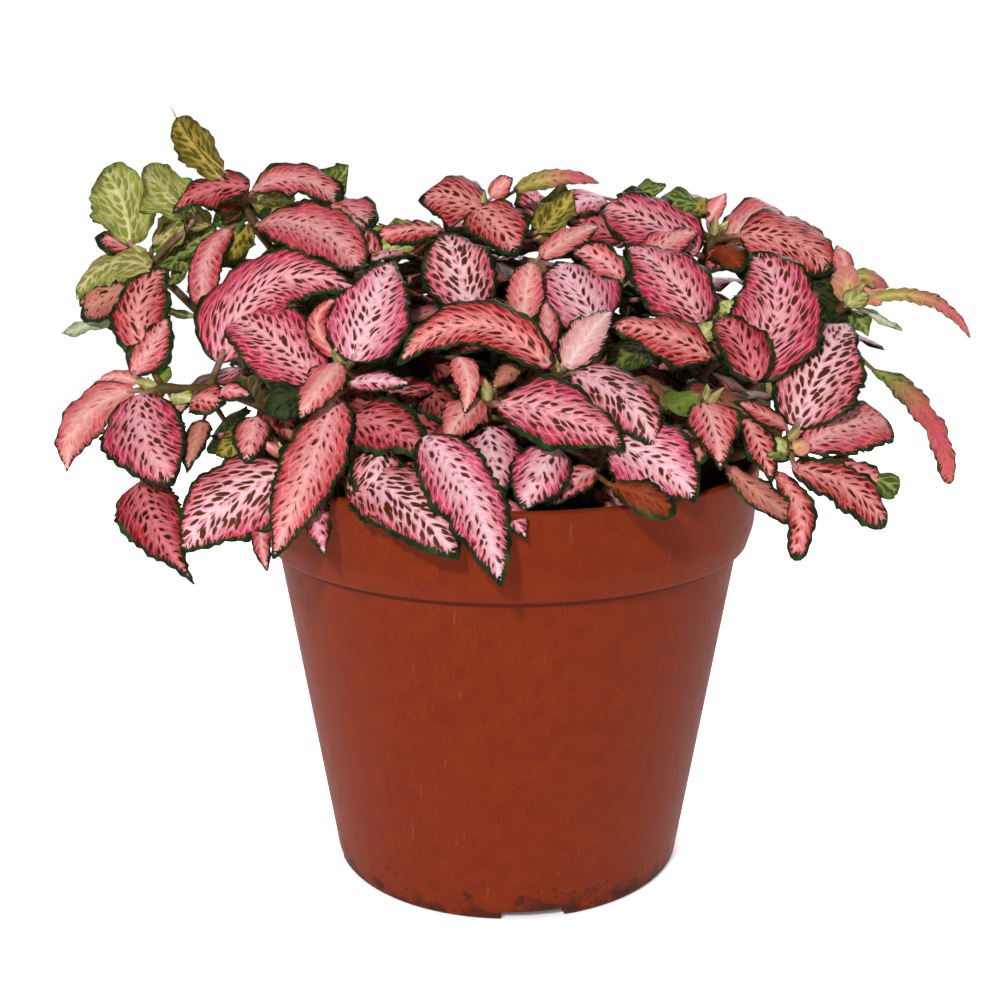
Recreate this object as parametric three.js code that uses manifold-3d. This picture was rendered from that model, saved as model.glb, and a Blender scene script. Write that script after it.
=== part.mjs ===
// A potted nerve plant: a tapered nursery pot filled with peat, and leafy stems rooted in it.
// Millimetres, +Z up. The reference view looks along +Y from in front of the pot.
import * as THREE from "three";
import { mergeVertices } from "three/addons/utils/BufferGeometryUtils.js";
import Module from "manifold-3d";

const wasm = await Module();
wasm.setup();

// Points closer than this are one point.
const WELD = 1e-4;

// Pot
const POT_HEIGHT = 101.6;
const RIM_RADIUS = 60;
const RIM_BAND_HEIGHT = 20.7;
const BODY_TOP_RADIUS = 55.5;
const BASE_RADIUS = 42.8;
const WALL = 1.3;
const FOOT_HEIGHT = 2.2;
const FOOT_WIDTH = 3.4;
const FOOT_EDGE = { inset: 0.6, rise: 0.8 };
const FLOOR_THICKNESS = 1.5;
const FLOOR_CORNER = 1.2;
const ROUND_SIDES = 30;
// The ledge under the rim band, the band's lower edge, its lip, and the step inside the wall.
const LEDGE = { out: 2.1, rise: 0.6 };
const BAND_FOOT = { inset: 0.9, rise: 5.5 };
const LIP = { drop: 2.2, edge: 0.5, width: 1.6, inset: 0.7, bevel: 1.2 };
const INNER_STEP = { out: 1.2, rise: 4, drop: 0.5 };
// Notches cut into the foot ring, each in line with a drain hole.
const NOTCH_WIDTH = 15;
const NOTCH_DEPTH = 13.6;
const NOTCH_ROOF = 2.1;
const NOTCH_TURN = THREE.MathUtils.degToRad(-82);
const NOTCH_COUNT = 4;
const DRAIN_RADIUS = 4.5;
const DRAIN_CIRCLE = 30;
const DRAIN_SIDES = 12;
const CUT_LENGTH = 20;
const POT_COLOUR = 0x8c351b;
const POT_ROUGHNESS = 0.5;

// Peat
const GAP = 0.3;
const SOIL_TOP = 91;
const SOIL_DOME = 4;
const SOIL_RINGS = [0.5];
const SOIL_BEVEL = 1.4;
const SOIL_SHOULDER = 1;
const SOIL_FLARE = 1.6;
const SOIL_CLEARANCE = 0.1;
// The crumbs lift or sink the points of the top, apart from its middle and its edge.
const SOIL_GRAIN = 1.1;
const SOIL_GRAIN_SUNK = 0.8;
const SOIL_MIDDLE = 1;
const SOIL_EDGE = 0.1;
const SOIL_COLOUR = 0x2a1c14;
const SOIL_ROUGHNESS = 1;

// Stems: a peg in the peat, and above it a neck that rises before the stem leans out.
const ROOT_DEPTH = 20;
const STEM_RADIUS = 1.5;
const STEM_SIDES = 5;
const STEM_STEPS = 5;
const STEM_SUNK = 1;
const NECK_RISE = 9;
const NECK_LEAN = 0.08;
const PEG_RADIUS = 1.575;
const PEG_RISE = 3;
const STEM_COLOUR = 0xd4647a;
const STEM_ROUGHNESS = 0.55;

// Stalks. A stalk grows out of the stem's own middle, sunk a little past it and never from the
// stem's very end. A short one is left out: the blade itself then tapers to the stem.
const STALK_RADIUS = 0.9;
const STALK_SIDES = 3;
const STALK_OVERLAP = 1.2;
const STUB = 3.2;
const SHORT_STALK = 11;
const STRAIGHT_STALK = THREE.MathUtils.degToRad(65);
const ROOT_SUNK = 0.4;
const TOP_MARGIN = 0.12;

// Blades: an egg-shaped outline, widest at a share of the length, with a low tooth at every other
// cross-section and a wave along both margins. A longer blade has more cross-sections.
const BLADE_THICKNESS = 0.7;
const BLADE_STATIONS = [
  { upTo: 11, count: 3 }, { upTo: 24, count: 4 }, { upTo: 99, count: 5 },
];
const FOOT_POWER = 0.62;
const TIP_POWER = 0.9;
const WIDEST_AT = 0.41;
const TOOTH = 0.05;
const WAVE = 0.1;
const WAVE_RATE = 9;
const WAVE_SHIFT = 2;
const BOW_RANGE = 0.06;
const ARCH = { least: 0.05, range: 0.05 };
const FOLD = { least: -0.12, range: 0.34 };
const PHASE_RANGE = 6.28;
const TEST_MARGIN = 0.6;
const SEED = 7.31;

// The reference view: a pinhole camera in front of the pot, in its pixels.
const VIEW_DISTANCE = 360;
const VIEW_HEIGHT = 179;
const VIEW_SIDE = -1.86;
const VIEW_PITCH = THREE.MathUtils.degToRad(15);
const VIEW_FOCAL = 1528;
const VIEW_CENTRE_COLUMN = 500;
const VIEW_CENTRE_ROW = 527;
const PIXELS_PER_MM = 4.3;

// The rounded mound of foliage, and the depth of its surface in that view: nearest at the front
// row, then further back up the view and out to the sides, as far as its back.
const MOUND_CENTRE = new THREE.Vector3(0, 10, 88);
const MOUND_RADII = new THREE.Vector3(108, 86, 70);
const MOUND_FRONT = -63;
const MOUND_FRONT_ROW = 512;
const MOUND_BACK = 20;
const MOUND_SLOPE = 0.17;
const MOUND_CURVE = 0.00027;
const MOUND_SIDE = 34;
const LAYER_DEPTH = 4.5;
const FOOT_LAYER = 0.4;
const STEM_LAYER = 0.8;

// How steeply a stalk or a blade may slant away from the view, how much a blade faces up and out of
// the mound, and the most that a blade seen from the side is widened.
const STALK_SLANT = 0.7;
const BLADE_SLANT = 0.8;
const FACE_UP = 0.75;
const FACE_OUT = 0.35;
const WIDEST_TURN = 0.72;

// A leaf that meets a neighbouring stem's leaf is bent clear: how far its base and its tip move
// along the blade's normal, in the order in which they are tried.
const BENDS = [
  [0, 0], [1, 2], [-1, -2], [0, 4], [0, -4], [2, 2], [-2, -2], [2, 6], [-2, -6], [4, 4], [-4, -4],
  [4, 8], [-4, -8], [0, 9], [0, -9], [6, 6], [-6, -6], [6, 12], [-6, -12], [9, 9], [-9, -9],
  [9, 16], [-9, -16], [12, 12], [-12, -12], [0, 15], [0, -15], [12, 22], [-12, -22],
];

// Each leafy stem: where it leaves the peat (x, y), where its top stands in the reference view,
// and its leaves. A leaf runs from its blade's foot to its tip, both as [column, row] in that view,
// with its width in millimetres. layer counts the leaves that lie over it, bow is how far the
// midrib swings to its left as a share of the length, and under shows the blade's lower side.
const SEEN_STEMS = [
  {
    name: "stem_front_left", hole: [-24, -27], top: [344, 368], layer: 1.4,
    leaves: [
      { from: [353, 362], to: [393, 255], width: 14.5, layer: 0 },
      { from: [336, 357], to: [349, 293], width: 4.5, layer: 0.3, bow: 0.34 },
      { from: [340, 363], to: [299, 418], width: 8.5, layer: -0.3 },
      { from: [348, 383], to: [413, 383], width: 4.5, layer: 0.3 },
      { from: [335, 395], to: [270, 558], width: 13.5, layer: 0.3, bow: 0.04 },
      { from: [345, 420], to: [428, 457], width: 10.5, layer: 0.6, bow: 0.08 },
      { from: [318, 385], to: [224, 320], width: 15.5, layer: 1, bow: -0.05 },
      { from: [382, 443], to: [373, 513], width: 11, layer: 0.9 },
      { from: [355, 465], to: [320, 478], width: 6.5, layer: 1.6 },
      { from: [352, 480], to: [463, 571], width: 14.5, layer: 1.2, bow: 0.04 },
      { from: [312, 490], to: [325, 559], width: 6.5, layer: 1.5 },
    ],
  },
  {
    name: "stem_front_low_left", hole: [-37, -23], top: [285, 455], layer: 2.4,
    leaves: [
      { from: [285, 470], to: [176, 551], width: 16.5, layer: 1.2, bow: -0.06 },
      { from: [242, 428], to: [211, 454], width: 7, layer: 1.8, under: true },
      { from: [256, 416], to: [245, 465], width: 8, layer: 1.6 },
      { from: [262, 525], to: [267, 571], width: 4, layer: 2 },
    ],
  },
  {
    name: "stem_front_middle", hole: [-7, -39], top: [488, 402], layer: 1.6,
    leaves: [
      { from: [497, 405], to: [627, 449], width: 13, layer: 0, bow: 0.05 },
      { from: [456, 357], to: [463, 415], width: 5.5, layer: 0.6, bow: 0.12 },
      { from: [517, 365], to: [491, 391], width: 5, layer: 1.4 },
      { from: [478, 398], to: [445, 440], width: 8, layer: 1 },
      { from: [485, 426], to: [498, 501], width: 12, layer: 1.5 },
      { from: [424, 436], to: [502, 585], width: 14, layer: 0.6, bow: 0.05 },
      { from: [500, 505], to: [522, 534], width: 4.5, layer: 1.8 },
    ],
  },
  {
    name: "stem_front_centre", hole: [9, -25], top: [560, 374], layer: 1.4,
    leaves: [
      { from: [550, 368], to: [394, 363], width: 9.5, layer: 0.2, bow: -0.26 },
      { from: [566, 369], to: [613, 308], width: 8.5, layer: -0.2 },
      { from: [573, 372], to: [656, 449], width: 12.5, layer: 0, bow: 0.1 },
      { from: [600, 408], to: [657, 456], width: 7, layer: 0.9 },
    ],
  },
  {
    name: "stem_upper_middle", hole: [-5, -9], top: [500, 318], layer: 2.6,
    leaves: [
      { from: [470, 312], to: [443, 229], width: 15, layer: 0.9 },
      { from: [522, 324], to: [533, 259], width: 8.5, layer: 0.8 },
      { from: [548, 351], to: [544, 297], width: 5, layer: 1 },
      { from: [540, 258], to: [600, 226], width: 6.5, layer: 1.4 },
    ],
  },
  {
    name: "stem_top_centre", hole: [-5, 12], top: [482, 212], layer: 1.6,
    leaves: [
      { from: [480, 210], to: [417, 199], width: 11, layer: 0.3, bow: -0.1 },
      { from: [478, 208], to: [518, 256], width: 14, layer: 0.4 },
      { from: [491, 198], to: [513, 177], width: 5, layer: 0.8 },
      { from: [513, 192], to: [601, 184], width: 5.5, layer: 1.4, bow: 0.12, turn: 50 },
      { from: [537, 234], to: [575, 192], width: 8, layer: 1.3, under: true },
      { from: [534, 240], to: [566, 214], width: 6.5, layer: 1.6, under: true },
      { from: [436, 262], to: [398, 236], width: 6, layer: 1.6 },
      { from: [415, 248], to: [363, 226], width: 5.5, layer: 1.8 },
    ],
  },
  {
    name: "stem_centre_right", hole: [15, -5], top: [612, 300], layer: 2.2,
    leaves: [
      { from: [597, 322], to: [556, 258], width: 17, layer: 0.5 },
      { from: [623, 280], to: [565, 248], width: 7.5, layer: 1, bow: -0.06 },
      { from: [640, 262], to: [700, 232], width: 8, layer: 1.8 },
    ],
  },
  {
    name: "stem_right_centre", hole: [29, -15], top: [722, 352], layer: 1.6,
    leaves: [
      { from: [702, 324], to: [624, 242], width: 13, layer: 0.3, bow: -0.05 },
      { from: [712, 357], to: [607, 324], width: 9.5, layer: 0.1, bow: -0.05 },
      { from: [699, 340], to: [713, 320], width: 4.5, layer: 0.3 },
      { from: [734, 362], to: [718, 308], width: 9, layer: 0.5 },
      { from: [736, 374], to: [747, 245], width: 17.5, layer: 0, bow: -0.28 },
    ],
  },
  {
    name: "stem_back_right", hole: [27, 17], top: [715, 236], layer: 1.8,
    leaves: [
      { from: [697, 255], to: [598, 205], width: 11, layer: 0.3, bow: -0.05 },
      { from: [605, 198], to: [563, 210], width: 5, layer: 1.2 },
      { from: [641, 209], to: [616, 194], width: 5, layer: 1.4 },
      { from: [634, 192], to: [667, 186], width: 4.5, layer: 1.8, under: true },
      { from: [706, 198], to: [679, 222], width: 5.5, layer: 1, under: true },
      { from: [707, 222], to: [726, 192], width: 4.5, layer: 1 },
      { from: [728, 232], to: [787, 204], width: 7, layer: 0.8, bow: 0.1 },
      { from: [734, 236], to: [827, 273], width: 10.5, layer: 0.4, bow: 0.12 },
      { from: [800, 223], to: [830, 261], width: 5, layer: 1 },
    ],
  },
  {
    name: "stem_right_upper", hole: [43, 3], top: [850, 300], layer: 1,
    leaves: [
      { from: [847, 276], to: [837, 244], width: 4.5, layer: 0.6 },
      { from: [852, 308], to: [971, 342], width: 5, layer: 0.4, bow: 0.2, turn: 35 },
      { from: [858, 312], to: [902, 336], width: 4, layer: 1, bow: 0.1, under: true },
      { from: [852, 275], to: [890, 287], width: 4, layer: 0.4 },
      { from: [866, 369], to: [947, 484], width: 7, layer: 0.8, bow: 0.15 },
    ],
  },
  {
    name: "stem_right_low", hole: [41, -20], top: [790, 440], layer: 1,
    leaves: [
      { from: [789, 428], to: [848, 318], width: 15, layer: 0.2, bow: 0.04 },
      { from: [801, 446], to: [893, 419], width: 10, layer: 0, bow: 0.06 },
      { from: [813, 453], to: [898, 487], width: 6.5, layer: 0.5, bow: 0.05 },
      { from: [790, 464], to: [888, 524], width: 8.5, layer: 0.5, bow: 0.08 },
      { from: [774, 467], to: [798, 557], width: 6, layer: 0.4, bow: 0.14 },
      { from: [745, 419], to: [773, 482], width: 6, layer: 0.8 },
      { from: [788, 428], to: [733, 400], width: 4.5, layer: 0.6 },
    ],
  },
  {
    name: "stem_front_right", hole: [30, -36], top: [706, 404], layer: 1.6,
    leaves: [
      { from: [703, 403], to: [721, 470], width: 10, layer: 0.1 },
      { from: [700, 402], to: [667, 416], width: 5, layer: 0.6, under: true },
      { from: [709, 430], to: [689, 473], width: 6, layer: 1 },
      { from: [724, 471], to: [801, 529], width: 6, layer: 0.6, bow: -0.08 },
    ],
  },
  {
    name: "stem_front_low_right", hole: [16, -42], top: [604, 450], layer: 2.2,
    leaves: [
      { from: [610, 440], to: [698, 500], width: 15, layer: 0.6, bow: 0.05 },
      { from: [612, 487], to: [675, 517], width: 7, layer: 1.6 },
      { from: [556, 447], to: [522, 513], width: 10.5, layer: 1.1 },
      { from: [595, 470], to: [545, 507], width: 6.5, layer: 1.5 },
    ],
  },
  {
    name: "stem_back_left", hole: [-29, 15], top: [240, 200], layer: 1.4,
    leaves: [
      { from: [231, 177], to: [184, 116], width: 9, layer: 0.6, under: true },
      { from: [250, 187], to: [170, 213], width: 7.5, layer: 0.2, bow: -0.12 },
      { from: [252, 184], to: [340, 196], width: 7.5, layer: 0.2, bow: 0.2 },
      { from: [322, 197], to: [350, 165], width: 6.5, layer: 1.2, under: true },
      { from: [280, 209], to: [376, 212], width: 7.5, layer: 0.4, bow: 0.1 },
      { from: [298, 202], to: [372, 230], width: 6.5, layer: 0.9 },
      { from: [255, 221], to: [360, 262], width: 9.5, layer: 0.2, bow: 0.1 },
      { from: [227, 228], to: [200, 310], width: 5, layer: 0.4, bow: -0.1 },
      { from: [248, 225], to: [218, 263], width: 7, layer: 0.9, under: true },
      { from: [211, 225], to: [175, 205], width: 6, layer: 1, under: true },
    ],
  },
  {
    name: "stem_left_upper", hole: [-43, 4], top: [148, 262], layer: 1,
    leaves: [
      { from: [135, 241], to: [107, 163], width: 12.5, layer: 0.2, bow: 0.1, under: true },
      { from: [194, 211], to: [142, 163], width: 10.5, layer: 0.8, under: true },
      { from: [130, 246], to: [94, 237], width: 6.5, layer: 0.6 },
      { from: [152, 271], to: [74, 303], width: 7, layer: 0, bow: -0.22 },
      { from: [144, 272], to: [78, 306], width: 6, layer: 0.7, bow: -0.1 },
      { from: [184, 222], to: [152, 252], width: 6, layer: 1, under: true },
      { from: [189, 240], to: [168, 289], width: 5, layer: 1.2, under: true },
    ],
  },
  {
    name: "stem_left", hole: [-38, -9], top: [158, 388], layer: 0.8, by: [[259, 405], [213, 391]],
    leaves: [
      { from: [143, 363], to: [165, 268], width: 11.5, layer: 0.2, bow: 0.16 },
      { from: [150, 375], to: [187, 312], width: 8.5, layer: 0, bow: -0.06 },
      { from: [138, 383], to: [92, 384], width: 4.5, layer: 0.3, bow: -0.1 },
      { from: [135, 390], to: [65, 472], width: 10.5, layer: 0.1, bow: -0.2 },
      { from: [145, 397], to: [178, 487], width: 16.5, layer: 0, bow: -0.08 },
      { from: [138, 480], to: [192, 584], width: 13.5, layer: 0.9, bow: -0.06 },
      { from: [159, 421], to: [191, 402], width: 4.5, layer: 0.8 },
      { from: [211, 364], to: [356, 290], width: 11.5, layer: 0.5, bow: 0.34 },
      { from: [192, 405], to: [226, 408], width: 6, layer: 0.5 },
      { from: [204, 419], to: [186, 473], width: 5.5, layer: 0.7 },
    ],
  },
];

// The stems that the reference view hides, on the far side of the pot: where each leaves the peat
// and how far out and how high its top stands, as a turn round the pot from +X.
const FAR_STEMS = [
  { name: "stem_far_right", turn: 24, hole: 36, reach: 76, height: 126 },
  { name: "stem_rear_right", turn: 57, hole: 38, reach: 70, height: 137 },
  { name: "stem_rear", turn: 90, hole: 37, reach: 72, height: 128 },
  { name: "stem_rear_left", turn: 123, hole: 38, reach: 69, height: 138 },
  { name: "stem_far_left", turn: 155, hole: 36, reach: 78, height: 127 },
  { name: "stem_inner_right", turn: 72, hole: 15, reach: 31, height: 151 },
  { name: "stem_inner_left", turn: 118, hole: 19, reach: 38, height: 149 },
];
// The pairs of leaves down a far stem: share of the stem's length, blade length and width, and how
// steeply the pair droops from level, in degrees.
const FAR_PAIRS = [
  { at: 1, length: 13, width: 7.5, droop: -35 },
  { at: 0.92, length: 29, width: 15, droop: -4 },
  { at: 0.76, length: 35, width: 17, droop: 20 },
];
// The pair that every third seen stem carries lower down, under the leaves of the mound.
const LOWER_PAIR = { at: 0.6, length: 25, width: 12.5, droop: 0 };
const LOWER_PAIR_EVERY = 3;
const PAIR_TURN = 90;
const FIRST_PAIR_TURN = 45;
const PAIR_SCATTER = 30;
const PAIR_LEAN = 0.3;
const PAIR_SIZE = { least: 0.85, range: 0.3 };
const STALK_LENGTH = 3;
// The layer of the pairs, which grow after every leaf of the reference view, and the first of the
// numbers that the places of the plant are counted from.
const LAST = 10;
const LEAVES_PER_STEM = 20;
const LOWER_PLACE = 1000;
const FAR_PLACE = 2000;

/** A repeatable number from 0 to 1 for a place in the plant. */
function draw(place, kind) {
  const value = Math.sin(place * 12.9898 + kind * 78.233 + SEED) * 43758.5453;
  return value - Math.floor(value);
}

/** The solid of a closed three.js geometry. */
function solid(geometry) {
  const bare = geometry.clone();
  bare.deleteAttribute("normal");
  bare.deleteAttribute("uv");
  const merged = mergeVertices(bare, WELD);
  const triVerts = new Uint32Array(merged.index.array);
  const vertProperties = new Float32Array(merged.attributes.position.array);
  return new wasm.Manifold(new wasm.Mesh({ numProp: 3, vertProperties, triVerts }));
}

/** The three.js geometry of a solid. */
function geometryOf(body) {
  const { vertProperties, triVerts } = body.getMesh();
  const geometry = new THREE.BufferGeometry();
  geometry.setAttribute("position", new THREE.BufferAttribute(new Float32Array(vertProperties), 3));
  geometry.setIndex(new THREE.BufferAttribute(new Uint32Array(triVerts), 1));
  geometry.computeVertexNormals();
  return geometry;
}

/** The body turned out of a profile of [radius, height] points round the pot's axis. */
function turned(profile) {
  const points = profile.map(([radius, height]) => new THREE.Vector2(radius, height));
  return new THREE.LatheGeometry(points, ROUND_SIDES).rotateX(Math.PI / 2);
}

/** The point of the reference view at a column and row, in the plane y of the plant. */
function pointInView(column, row, y) {
  const rise = Math.atan((VIEW_CENTRE_ROW - row) / VIEW_FOCAL) - VIEW_PITCH;
  const away = y + VIEW_DISTANCE;
  const height = away * Math.tan(rise);
  const depth = away * Math.cos(VIEW_PITCH) - height * Math.sin(VIEW_PITCH);
  const x = VIEW_SIDE + ((column - VIEW_CENTRE_COLUMN) / VIEW_FOCAL) * depth;
  return new THREE.Vector3(x, y, VIEW_HEIGHT + height);
}

const EYE = new THREE.Vector3(VIEW_SIDE, -VIEW_DISTANCE, VIEW_HEIGHT);

/** How deep the mound's surface lies at a place in the view: further back up it and out to a side. */
function moundDepth([column, row]) {
  const up = MOUND_FRONT_ROW - row;
  const aside = (column - VIEW_CENTRE_COLUMN) / PIXELS_PER_MM / MOUND_RADII.x;
  const depth = MOUND_FRONT + MOUND_SLOPE * up + MOUND_CURVE * up * Math.abs(up);
  return Math.min(depth + MOUND_SIDE * aside ** 2, MOUND_BACK);
}

/** A place in the view, as deep as a nearby known place apart from the mound's own limited slant. */
function placeNear(place, layer, near, nearDepth, slant) {
  const apart = Math.hypot(place[0] - near[0], place[1] - near[1]) / PIXELS_PER_MM;
  const most = slant * apart;
  const wanted = moundDepth(place) - moundDepth(near);
  const depth = nearDepth + THREE.MathUtils.clamp(wanted, -most, most);
  return { depth, point: pointInView(place[0], place[1], depth + layer * LAYER_DEPTH) };
}

/** The direction that faces out of the mound at a point. */
function outOfMound(point) {
  return point.clone().sub(MOUND_CENTRE).divide(MOUND_RADII).divide(MOUND_RADII).normalize();
}

/** Half the blade's width at a share u of its length: an egg-shaped blade drawn to a point. */
function halfWidth(leaf, u) {
  const swell = (share) => share ** FOOT_POWER * (1 - share) ** TIP_POWER;
  return ((leaf.width / 2) * swell(u)) / swell(WIDEST_AT);
}

/** The blade's own axes: along the chord, sideways to its left, and out of its upper side. */
function bladeAxes(leaf, foot, tip) {
  const along = tip.clone().sub(foot).normalize();
  const out = leaf.facing.clone().addScaledVector(along, -leaf.facing.dot(along)).normalize();
  out.applyAxisAngle(along, THREE.MathUtils.degToRad(leaf.turn));
  const side = new THREE.Vector3().crossVectors(out, along);
  return { along, side, out };
}

/** The cross-sections of a blade, each with a left, middle and right point on both sides. */
function bladeSections(leaf, foot, tip) {
  const { along, side, out } = bladeAxes(leaf, foot, tip);
  const length = foot.distanceTo(tip);
  const stations = BLADE_STATIONS.find(({ upTo }) => length < upTo).count;
  const start = isDirect(leaf, foot, tip) ? leaf.root : foot;
  const sections = [];
  for (let i = 0; i <= stations; i += 1) {
    const u = i / stations;
    const middle = (i ? foot : start).clone().addScaledVector(along, length * u);
    middle.addScaledVector(out, length * 4 * leaf.arch * u * (1 - u));
    middle.addScaledVector(side, length * 4 * leaf.bow * u * (1 - u));
    const tangent = along.clone().addScaledVector(out, 4 * leaf.arch * (1 - 2 * u));
    tangent.addScaledVector(side, 4 * leaf.bow * (1 - 2 * u)).normalize();
    const up = out.clone().addScaledVector(tangent, -out.dot(tangent)).normalize();
    const left = new THREE.Vector3().crossVectors(up, tangent);
    const half = halfWidth(leaf, u) * (1 + TOOTH * (i % 2 ? 1 : -1));
    const lift = [leaf.phase, leaf.phase + WAVE_SHIFT].map(
      (phase) => half * (leaf.fold + WAVE * Math.sin(WAVE_RATE * u + phase)));
    sections.push(section(middle, left, up, half, lift));
  }
  return sections;
}

/** One cross-section: its three points on the upper side, then the same three on the lower. */
function section(middle, left, up, half, lift) {
  const across = [[half, lift[0]], [0, 0], [-half, lift[1]]];
  return [0.5, -0.5].map((face) => across.map(([sideways, rise]) =>
    middle.clone().addScaledVector(left, sideways).addScaledVector(up, rise + face * BLADE_THICKNESS)));
}

/** A blade as a closed slab through its cross-sections, pointed at its foot and its tip. */
function bladeGeometry(leaf, foot, tip, extra) {
  const sections = bladeSections(leaf, foot, tip);
  const last = sections.length - 1;
  const points = [];
  const faces = [];
  sections.forEach(([upper, lower], i) => {
    const up = upper[1].clone().sub(lower[1]).normalize();
    const kept = i % last ? [0, 1, 2] : [1];
    kept.forEach((k) => points.push(upper[k].clone().addScaledVector(up, extra / 2)));
    kept.forEach((k) => points.push(lower[k].clone().addScaledVector(up, -extra / 2)));
  });
  const quad = (a, b, c, d) => faces.push([a, c, b], [a, d, c]);
  // At an end the section is one upper and one lower point, and the next section fans out from it.
  const fan = (upper, lower, full, flip) => {
    const three = [0, 1, 2].map((k) => full + (flip ? 2 - k : k));
    const under = three.map((corner) => corner + 3);
    faces.push([upper, three[1], three[0]], [upper, three[2], three[1]]);
    faces.push([lower, under[0], under[1]], [lower, under[1], under[2]]);
    faces.push([upper, under[0], lower], [upper, three[0], under[0]]);
    faces.push([upper, under[2], three[2]], [upper, lower, under[2]]);
  };
  fan(0, 1, 2, false);
  for (let i = 1; i < last - 1; i += 1) {
    const here = 6 * i - 4;
    const next = here + 6;
    quad(here, next, next + 1, here + 1);
    quad(here + 1, next + 1, next + 2, here + 2);
    quad(here + 3, here + 4, next + 4, next + 3);
    quad(here + 4, here + 5, next + 5, next + 4);
    quad(here, here + 3, next + 3, next);
    quad(here + 2, next + 2, next + 5, here + 5);
  }
  fan(6 * last - 4, 6 * last - 3, 6 * last - 10, true);
  const geometry = new THREE.BufferGeometry().setFromPoints(points);
  geometry.setIndex(faces.flat());
  return geometry;
}

/** The outline of a stem or a stalk. */
function roundOutline(radius, sides) {
  const outline = new THREE.Shape();
  for (let i = 0; i < sides; i += 1) {
    const turn = (i / sides) * 2 * Math.PI;
    outline[i ? "lineTo" : "moveTo"](radius * Math.cos(turn), radius * Math.sin(turn));
  }
  return outline;
}

/** Whether a stalk is so short, or short and straight, that the blade itself tapers to the stem. */
function isDirect(leaf, foot, tip) {
  const stalk = foot.clone().sub(leaf.root);
  const straight = stalk.angleTo(tip.clone().sub(foot)) < STRAIGHT_STALK;
  return stalk.length() < STUB || (straight && stalk.length() < SHORT_STALK);
}

/** A leaf: its blade, and the stalk from its root inside the stem to just past the blade's foot. */
function leafBody(leaf, foot, tip, extra) {
  if (isDirect(leaf, foot, tip)) {
    return solid(bladeGeometry(leaf, foot, tip, extra));
  }
  const end = foot.clone().lerp(tip, STALK_OVERLAP / foot.distanceTo(tip));
  const path = new THREE.LineCurve3(leaf.root, end);
  const outline = roundOutline(STALK_RADIUS + extra / 2, STALK_SIDES);
  const stalk = new THREE.ExtrudeGeometry(outline, { steps: 1, extrudePath: path });
  return solid(bladeGeometry(leaf, foot, tip, extra)).add(solid(stalk));
}

/** The line of a stem from just above the peat, upright at first, to its top. */
function stemLine(hole, by, top) {
  const foot = new THREE.Vector3(hole[0], hole[1], SOIL_TOP - STEM_SUNK);
  const neck = foot.clone().setZ(SOIL_TOP + NECK_RISE).lerp(top, NECK_LEAN);
  return new THREE.CatmullRomCurve3([foot, neck, ...by, top], false, "centripetal");
}

/** A stem's solid: an upright peg in the peat and the stem above it. */
function stemSolid(hole, line) {
  const outline = roundOutline(STEM_RADIUS, STEM_SIDES);
  const above = new THREE.ExtrudeGeometry(outline, { steps: STEM_STEPS, extrudePath: line });
  const depth = ROOT_DEPTH + PEG_RISE;
  const peg = new THREE.CylinderGeometry(PEG_RADIUS, PEG_RADIUS, depth, STEM_SIDES);
  peg.rotateX(Math.PI / 2).translate(hole[0], hole[1], SOIL_TOP - ROOT_DEPTH + depth / 2);
  return solid(above).add(solid(peg));
}

/** The leaves of a seen stem, with their places in the plant. */
function seenLeaves(stem, number) {
  return stem.leaves.map((entry, i) => {
    const footLayer = entry.layer + FOOT_LAYER;
    const start = placeNear(entry.from, footLayer, stem.top, moundDepth(stem.top), STALK_SLANT);
    const end = placeNear(entry.to, entry.layer, entry.from, start.depth, BLADE_SLANT);
    const foot = start.point;
    const tip = end.point;
    const middle = foot.clone().lerp(tip, 0.5);
    const sight = EYE.clone().sub(middle).normalize();
    const facing = sight.clone().addScaledVector(outOfMound(middle), FACE_OUT);
    facing.z += FACE_UP;
    facing.multiplyScalar(entry.under ? -1 : 1);
    const place = number * LEAVES_PER_STEM + i;
    const leaf = finished({ ...entry, foot, tip, facing, place, order: entry.layer });
    const { side } = bladeAxes(leaf, foot, tip);
    const shown = Math.sqrt(1 - side.dot(sight) ** 2);
    return { ...leaf, width: entry.width / Math.max(shown, WIDEST_TURN) };
  });
}

/** A leaf with the shape that its place in the plant draws for it. */
function finished(leaf) {
  const { place } = leaf;
  return {
    turn: 0,
    bow: BOW_RANGE * (draw(place, 1) - 0.5),
    arch: ARCH.least + ARCH.range * draw(place, 2),
    fold: FOLD.least + FOLD.range * draw(place, 3),
    phase: PHASE_RANGE * draw(place, 4),
    ...leaf,
  };
}

/** A pair of opposite leaves at a share of a stem's line, set out by rule. */
function pairOnStem(line, pair, turn, place) {
  const node = line.getPointAt(Math.min(pair.at, 1));
  return [0, 180].map((half, i) => {
    const here = place + i;
    const yaw = THREE.MathUtils.degToRad(turn + half + PAIR_SCATTER * (draw(here, 5) - 0.5));
    const droop = THREE.MathUtils.degToRad(pair.droop + PAIR_SCATTER * (draw(here, 6) - 0.5));
    const level = new THREE.Vector3(Math.cos(yaw), Math.sin(yaw), 0);
    const facing = new THREE.Vector3(0, 0, 1).addScaledVector(level, PAIR_LEAN);
    const heading = level.multiplyScalar(Math.cos(droop)).setZ(-Math.sin(droop));
    const size = PAIR_SIZE.least + PAIR_SIZE.range * draw(here, 7);
    const foot = node.clone().addScaledVector(heading, STALK_LENGTH);
    const tip = foot.clone().addScaledVector(heading, pair.length * size);
    return finished({ foot, tip, facing, width: pair.width * size, place: here, order: LAST });
  });
}

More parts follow.
